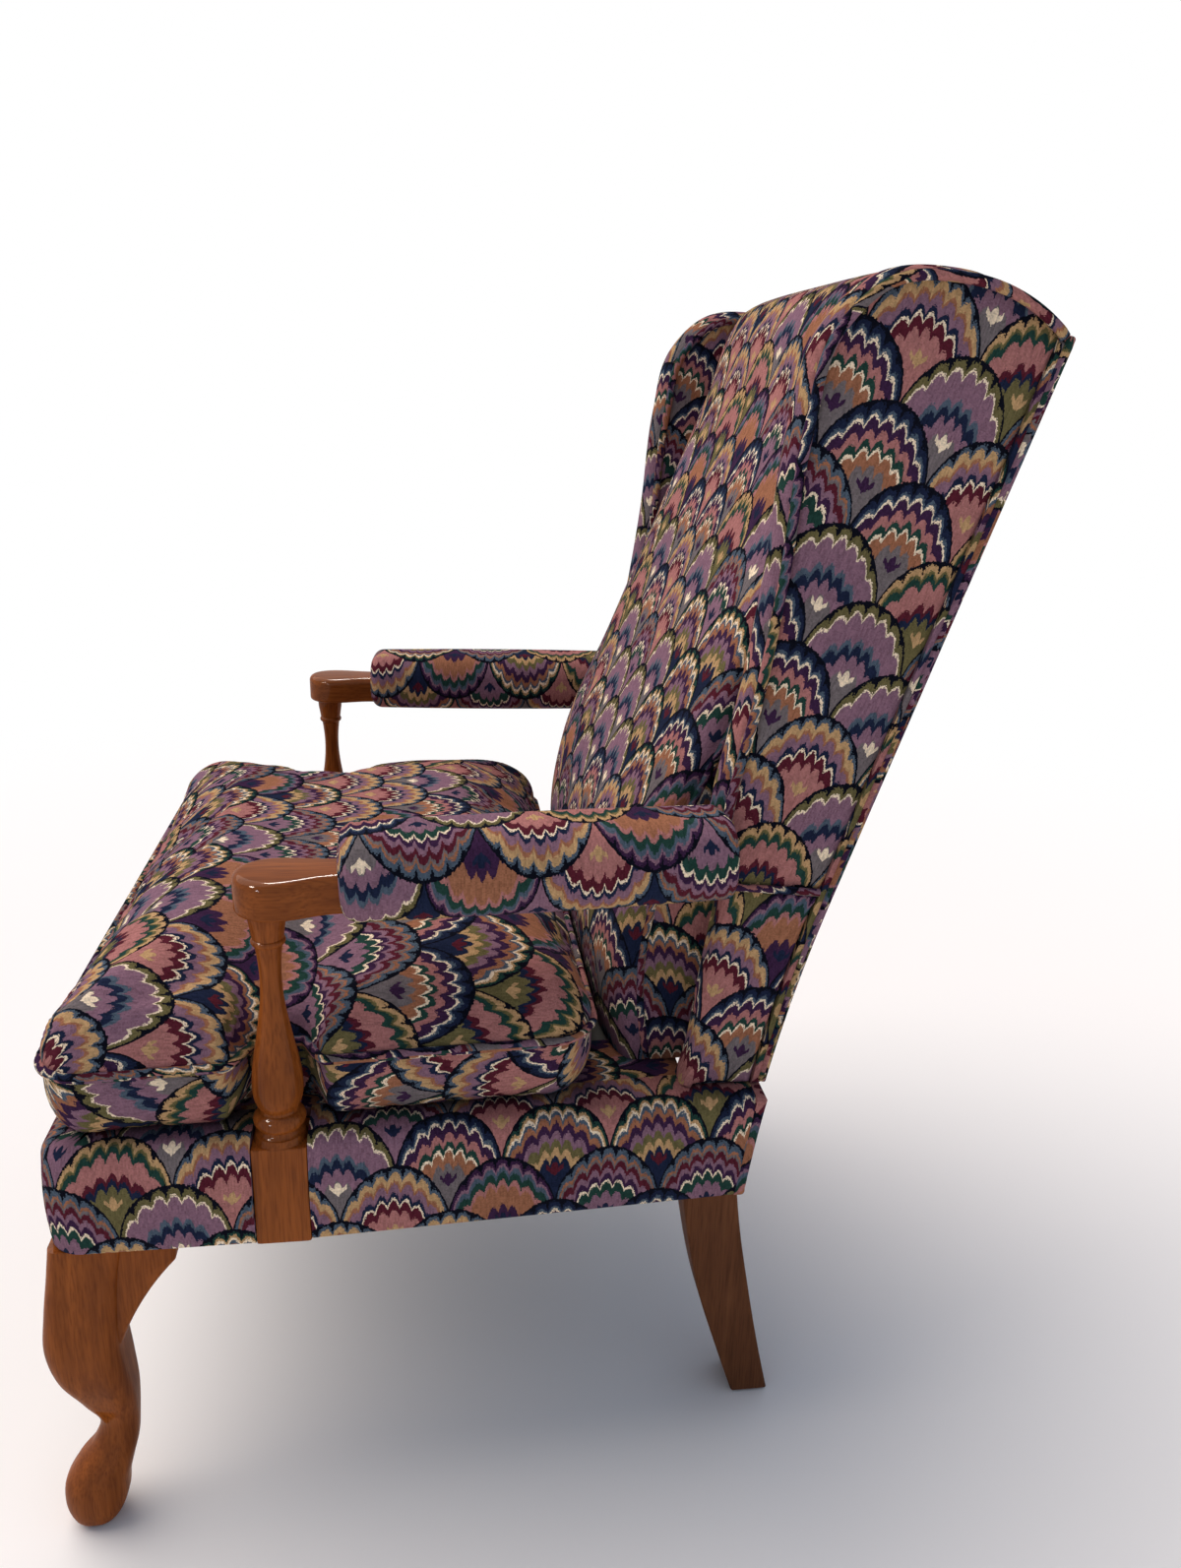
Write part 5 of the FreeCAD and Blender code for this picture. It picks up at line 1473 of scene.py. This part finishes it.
def ear_grids(along_x):
    """Bracket beside the knee with a hollow lower curve and rolled edges, along the front rail or
    the side rail."""
    start = EAR_START_X if along_x else EAR_START_Y
    loop = closed_loop(np.vstack([EAR_TOP, smooth_run(EAR_CURVE, 24), [EAR_FOOT]]), 160)

    def place(points, depth):
        along, z = points[..., 0], points[..., 1]
        if along_x:
            return np.stack([start - along, EAR_FACE_Y + depth, z], axis=-1)
        return np.stack([EAR_FACE_X - depth, start + along, z], axis=-1)

    return plate(loop, place, lambda points: points, thick=0.024, roll=0.006, dome=0.0015)


class CHAIR_OT_legs(bpy.types.Operator):
    """Cabriole front legs with pad feet and ears, and plain raked rear legs"""
    bl_idname = "chair.legs"
    bl_label = "Legs"

    def execute(self, context):
        front = []
        for z, near, far, radius in FRONT_LEG_ROWS:
            outer = LEG_OUTER + LEG_SPLAY * (SEAT_FRONT / MM - near)
            front.append((z, outer - (far - near), outer, near, far, radius))
        front = upright_leg(front, 90) + ear_grids(True) + ear_grids(False)
        rear = upright_leg([
            (z, *REAR_LEG_SIDES, near, far, REAR_LEG_CORNER) for z, near, far in REAR_LEG_ROWS], 50)
        for side in SIDES:
            link("cabriole_leg_" + side, mesh_of("cabriole_leg", on_side(side, front), 35), "frame",
                 finish_of("polished_z"), ["front_leg_" + side])
            link("raked_leg_" + side, mesh_of("raked_leg", on_side(side, rear), 35), "frame",
                 finish_of("dull"), ["rear_leg_" + side])
        return {"FINISHED"}


# Under the cushion and under the seat

# The deck dips beside the rails, by this much and over this distance, and has a border of the
# covers' cloth, which shows beside the loose cushion
DECK_DIP = 0.0035
DECK_DIP_REACH = 0.01
DECK_BORDER = 0.065
# The dust cover's height, its inset from the covered rails, its sag, the corner cut away at the
# front as x and y, and the room for a rear leg as inner x, outer x and front y
DUST_HEIGHT = 0.2892
DUST_INSET = 0.036
DUST_SAG = 0.004
DUST_CORNER = (0.251, -0.288)
LEG_ROOM = (0.2197, 0.2653, 0.1497)
CAMBRIC_THICK = 0.0006


def dust_grids():
    """Dust cover: flat along the rails, sagging like a shallow dish between them. It tapers with
    the seat and is cut away at the front corners and round the rear legs."""
    low, high = DUST_BOX[0].y, DUST_BOX[1].y
    front = DUST_CORNER[0] / (seat_half(low) - DUST_INSET)
    near, far = (x / (seat_half(high) - DUST_INSET) for x in LEG_ROOM[:2])
    cuts = (-front, front, -near, near, -far, far)
    shares = np.unique(np.round([*np.linspace(-1, 1, 41), *cuts], 6))
    depths = np.unique(np.round([*np.linspace(low, high, 36), DUST_CORNER[1], LEG_ROOM[2]], 6))
    patches = (
        (-front, front, low, DUST_CORNER[1]), (-1, 1, DUST_CORNER[1], LEG_ROOM[2]),
        (-1, -far, LEG_ROOM[2], high), (-near, near, LEG_ROOM[2], high),
        (far, 1, LEG_ROOM[2], high))
    grids = []
    for left, right, start, end in patches:
        share = shares[(shares > left - 1e-5) & (shares < right + 1e-5)]
        y = depths[(depths > start - 1e-5) & (depths < end + 1e-5)]
        x = (seat_half(y) - DUST_INSET)[:, None] * share
        along = (y - low) / (high - low)
        dish = np.clip(1 - share ** 2, 0, 1) * np.clip(4 * along * (1 - along), 0, 1)[:, None]
        z = DUST_HEIGHT - DUST_SAG * dish
        points = np.stack([x, np.broadcast_to(y[:, None], x.shape), z], axis=2)
        grids.append((points, points[..., :2]))
    return grids


class CHAIR_OT_seat_foundation(bpy.types.Operator):
    """Deck cloth under the loose cushion and the dust cover under the seat"""
    bl_idname = "chair.seat_foundation"
    bl_label = "Deck and dust cover"

    def execute(self, context):
        ys = np.linspace(DECK_BOX[0].y, DECK_BOX[1].y, 60)
        half = seat_half(ys) - RAIL_INNER - GAP
        across = half[:, None] * np.linspace(-1, 1, 61)
        from_end = np.minimum(ys - ys[0], ys[-1] - ys)[:, None]
        distance = np.minimum(half[:, None] - np.abs(across), from_end)
        top = SEAT_TOP - DECK_DIP * np.exp(-distance / DECK_DIP_REACH) - 0.0002
        bottom = np.full_like(top, DECK_BOX[0].z)
        mesh = mesh_of("deck_cover", closed_sheets(across, ys, top, bottom), 50)
        deck = link("deck_cover", mesh, "frame", finish_of("deck"), ["seat_deck"])
        centre = np.empty(3 * len(mesh.polygons))
        mesh.polygons.foreach_get("center", centre)
        x, y = centre.reshape(-1, 3)[:, :2].T
        beside = np.abs(x) > seat_half(y) - RAIL_INNER - DECK_BORDER
        edge = beside | (y < DECK_BOX[0].y + DECK_BORDER)
        mesh.materials.append(finish_of("cloth"))
        mesh.polygons.foreach_set("material_index", edge.astype(np.int32))
        mesh = mesh_of("dust_sheet", dust_grids(), 60)
        sheet = link("dust_sheet", mesh, "frame", finish_of("cambric"), ["dust_cover"])
        cloth = sheet.modifiers.new("thickness", "SOLIDIFY")
        cloth.thickness, cloth.offset = CAMBRIC_THICK, 0.0
        return {"FINISHED"}


class CHAIR_OT_frame_finishes(bpy.types.Operator):
    """Finishes of the hidden frame, its hardware and the floor glides"""
    bl_idname = "chair.frame_finishes"
    bl_label = "Frame finishes"

    def execute(self, context):
        finishes = {
            "bare": ("front_seat_rail", "side_seat_rail_left", "side_seat_rail_right",
                     "rear_seat_rail", "corner_blocks", "back_post_left", "back_post_right",
                     "crest_rail", "lower_back_rail", "wing_frame_left", "wing_frame_right"),
            "steel": ("leg_bolts", "post_screws", "arm_bolts"),
            "nylon": ("glides",),
            "webbing": ("seat_webbing", "back_straps"),
        }
        for finish, names in finishes.items():
            for name in names:
                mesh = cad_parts[name].data
                mesh.materials.clear()
                mesh.materials.append(finish_of(finish))
        return {"FINISHED"}


# Stage

CAMERA_PLACE = (1.2039, -0.0731, 0.9611)
CAMERA_YAW = 0.1381
CAMERA_PITCH = 0.3145
CAMERA_ROLL = 0.0227

# Name, place, size, power and colour of the lamps that only glossy finishes show
WINDOWS = (
    ("window", (0.9, -1.7, 2.2), 0.50, 75, "#fff4e6"),
    ("side_window", (2.0, -1.5, 1.3), 0.30, 20, "#f4f6ff"),
    ("ceiling", (-0.9, -0.3, 2.5), 0.50, 75, "#fffaf2"),
)
WINDOW_AIM = (0.0, 0.05, 0.55)
# A broad lamp and the world light everything
SKY_COLOUR = "#fff2e8"
SKY_POWER = 3.0
SKY_TILT = (26, -24, 0)
SKY_BREADTH = 70
WORLD_COLOUR = "#dce6fb"
WORLD_STRENGTH = 0.44
# The floor, and where it fades into the white background
FLOOR_REACH = 60.0
FADE_START = 1.1
FADE_WIDTH = 1.5


def window_lamp(name, place, size, power, colour):
    lamp = bpy.data.lights.new(name, "AREA")
    lamp.shape = "SQUARE"
    lamp.size = size
    lamp.energy = power
    lamp.color = linear(colour)[:3]
    obj = bpy.data.objects.new(name, lamp)
    obj.location = place
    aim = Vector(WINDOW_AIM) - Vector(place)
    obj.rotation_euler = aim.to_track_quat("-Z", "Y").to_euler()
    obj.visible_diffuse = False
    bpy.context.scene.collection.objects.link(obj)


def seen_plain(tree):
    """1 for the rays by which the camera sees something, straight, mirrored or through glass."""
    path = add_node(tree, "ShaderNodeLightPath")
    known = {"camera": path.outputs["Is Camera Ray"], "mirror": path.outputs["Is Glossy Ray"],
             "glass": path.outputs["Is Transmission Ray"]}
    work_out(tree, known, (
        ("either", "MAXIMUM", "camera", "mirror"),
        ("seen", "MAXIMUM", "either", "glass"),
    ))
    return known["seen"]


class CHAIR_OT_stage(bpy.types.Operator):
    """Pale floor, soft studio lamps, white background and the camera at the photograph's angle"""
    bl_idname = "chair.stage"
    bl_label = "Stage"

    def execute(self, context):
        scene = context.scene
        scene.view_settings.view_transform = "Standard"
        sizes = scene.chair_stage
        reach = FLOOR_REACH
        corners = [(-reach, -reach, 0), (reach, -reach, 0), (reach, reach, 0), (-reach, reach, 0)]
        mesh = bpy.data.meshes.new("floor")
        mesh.from_pydata(corners, [], [(0, 1, 2, 3)])
        floor = bpy.data.objects.new("floor", mesh)
        scene.collection.objects.link(floor)
        material, tree = new_material("studio_floor")
        lit = add_node(tree, "ShaderNodeBsdfDiffuse", {"Color": tuple(sizes.floor)})
        white = add_node(tree, "ShaderNodeEmission", {"Color": WHITE, "Strength": 1.0})
        place = add_node(tree, "ShaderNodeTexCoord")
        away = add_node(tree, "ShaderNodeVectorMath", {0: place.outputs["Object"]},
                        operation="LENGTH")
        # Beyond the chair's shadow the floor runs out into the white background
        known = {"away": away.outputs["Value"], "seen": seen_plain(tree)}
        work_out(tree, known, (
            ("beyond", "SUBTRACT", "away", FADE_START),
            ("share", "DIVIDE", "beyond", FADE_WIDTH),
            ("kept", "MAXIMUM", "share", 0.0),
            ("capped", "MINIMUM", "kept", 1.0),
            ("three", "MULTIPLY_ADD", "capped", -2.0, 3.0),
            ("square", "MULTIPLY", "capped", "capped"),
            ("smooth", "MULTIPLY", "square", "three"),
            ("faded", "MULTIPLY", "smooth", "seen"),
        ))
        mixed = add_node(tree, "ShaderNodeMixShader", {
            0: known["faded"], 1: lit.outputs[0], 2: white.outputs[0]})
        add_node(tree, "ShaderNodeOutputMaterial", {"Surface": mixed.outputs[0]})
        mesh.materials.append(material)

        world = bpy.data.worlds.new("studio")
        scene.world = world
        world.use_nodes = True
        tree = world.node_tree
        tree.nodes.clear()
        soft = add_node(tree, "ShaderNodeBackground", {
            "Color": linear(WORLD_COLOUR), "Strength": WORLD_STRENGTH})
        white = add_node(tree, "ShaderNodeBackground", {"Color": WHITE, "Strength": 1.0})
        seen = seen_plain(tree)
        mixed = add_node(tree, "ShaderNodeMixShader", {
            0: seen, 1: soft.outputs[0], 2: white.outputs[0]})
        add_node(tree, "ShaderNodeOutputWorld", {"Surface": mixed.outputs[0]})

        for window in WINDOWS:
            window_lamp(*window)
        sky = bpy.data.lights.new("sky", "SUN")
        sky.energy = SKY_POWER
        sky.color = linear(SKY_COLOUR)[:3]
        sky.angle = math.radians(SKY_BREADTH)
        sun = bpy.data.objects.new("sky", sky)
        sun.rotation_euler = [math.radians(turn) for turn in SKY_TILT]
        scene.collection.objects.link(sun)

        optics = bpy.data.cameras.new("camera")
        optics.lens = sizes.lens
        optics.sensor_width = 36.0
        optics.clip_start = 0.05
        camera = bpy.data.objects.new("camera", optics)
        ahead = Vector((-math.cos(CAMERA_YAW) * math.cos(CAMERA_PITCH),
                        math.sin(CAMERA_YAW) * math.cos(CAMERA_PITCH), -math.sin(CAMERA_PITCH)))
        level = ahead.cross(Vector((0, 0, 1))).normalized()
        upright = level.cross(ahead)
        c, s = math.cos(CAMERA_ROLL), math.sin(CAMERA_ROLL)
        right = level * c + upright * s
        up = upright * c - level * s
        turn = Matrix((right, up, -ahead)).transposed().to_4x4()
        camera.matrix_world = Matrix.Translation(CAMERA_PLACE) @ turn
        scene.collection.objects.link(camera)
        scene.camera = camera
        return {"FINISHED"}


class CHAIR_PT_panel(bpy.types.Panel):
    bl_idname = "CHAIR_PT_panel"
    bl_label = "Wing chair"
    bl_space_type = "VIEW_3D"
    bl_region_type = "UI"
    bl_category = "Wing chair"

    def draw(self, context):
        scene = context.scene
        for group in (scene.chair_cloth, scene.chair_cushion, scene.chair_wood, scene.chair_stage):
            box = self.layout.box()
            for name in group.__annotations__:
                box.prop(group, name)
        for operator in OPERATORS:
            self.layout.operator(operator.bl_idname)


OPERATORS = (
    CHAIR_OT_seat_cushion, CHAIR_OT_back_cushion, CHAIR_OT_wings, CHAIR_OT_side_panels,
    CHAIR_OT_rail_covers, CHAIR_OT_outside_back, CHAIR_OT_arms, CHAIR_OT_legs,
    CHAIR_OT_seat_foundation, CHAIR_OT_frame_finishes, CHAIR_OT_stage)
GROUPS = {"chair_cloth": ClothSettings, "chair_cushion": CushionSettings,
          "chair_wood": WoodSettings, "chair_stage": StageSettings}


def register():
    for name, group in GROUPS.items():
        bpy.utils.register_class(group)
        setattr(bpy.types.Scene, name, PointerProperty(type=group))
    for item in OPERATORS + (CHAIR_PT_panel,):
        bpy.utils.register_class(item)


def unregister():
    for item in (CHAIR_PT_panel,) + OPERATORS[::-1]:
        bpy.utils.unregister_class(item)
    for name, group in GROUPS.items():
        delattr(bpy.types.Scene, name)
        bpy.utils.unregister_class(group)


def main():
    register()
    bpy.ops.chair.stage()
    bpy.ops.chair.seat_cushion()
    bpy.ops.chair.back_cushion()
    bpy.ops.chair.wings()
    bpy.ops.chair.side_panels()
    bpy.ops.chair.rail_covers()
    bpy.ops.chair.outside_back()
    bpy.ops.chair.arms()
    bpy.ops.chair.legs()
    bpy.ops.chair.seat_foundation()
    bpy.ops.chair.frame_finishes()
    bpy.context.view_layer.update()


if __name__ == "__main__":
    main()
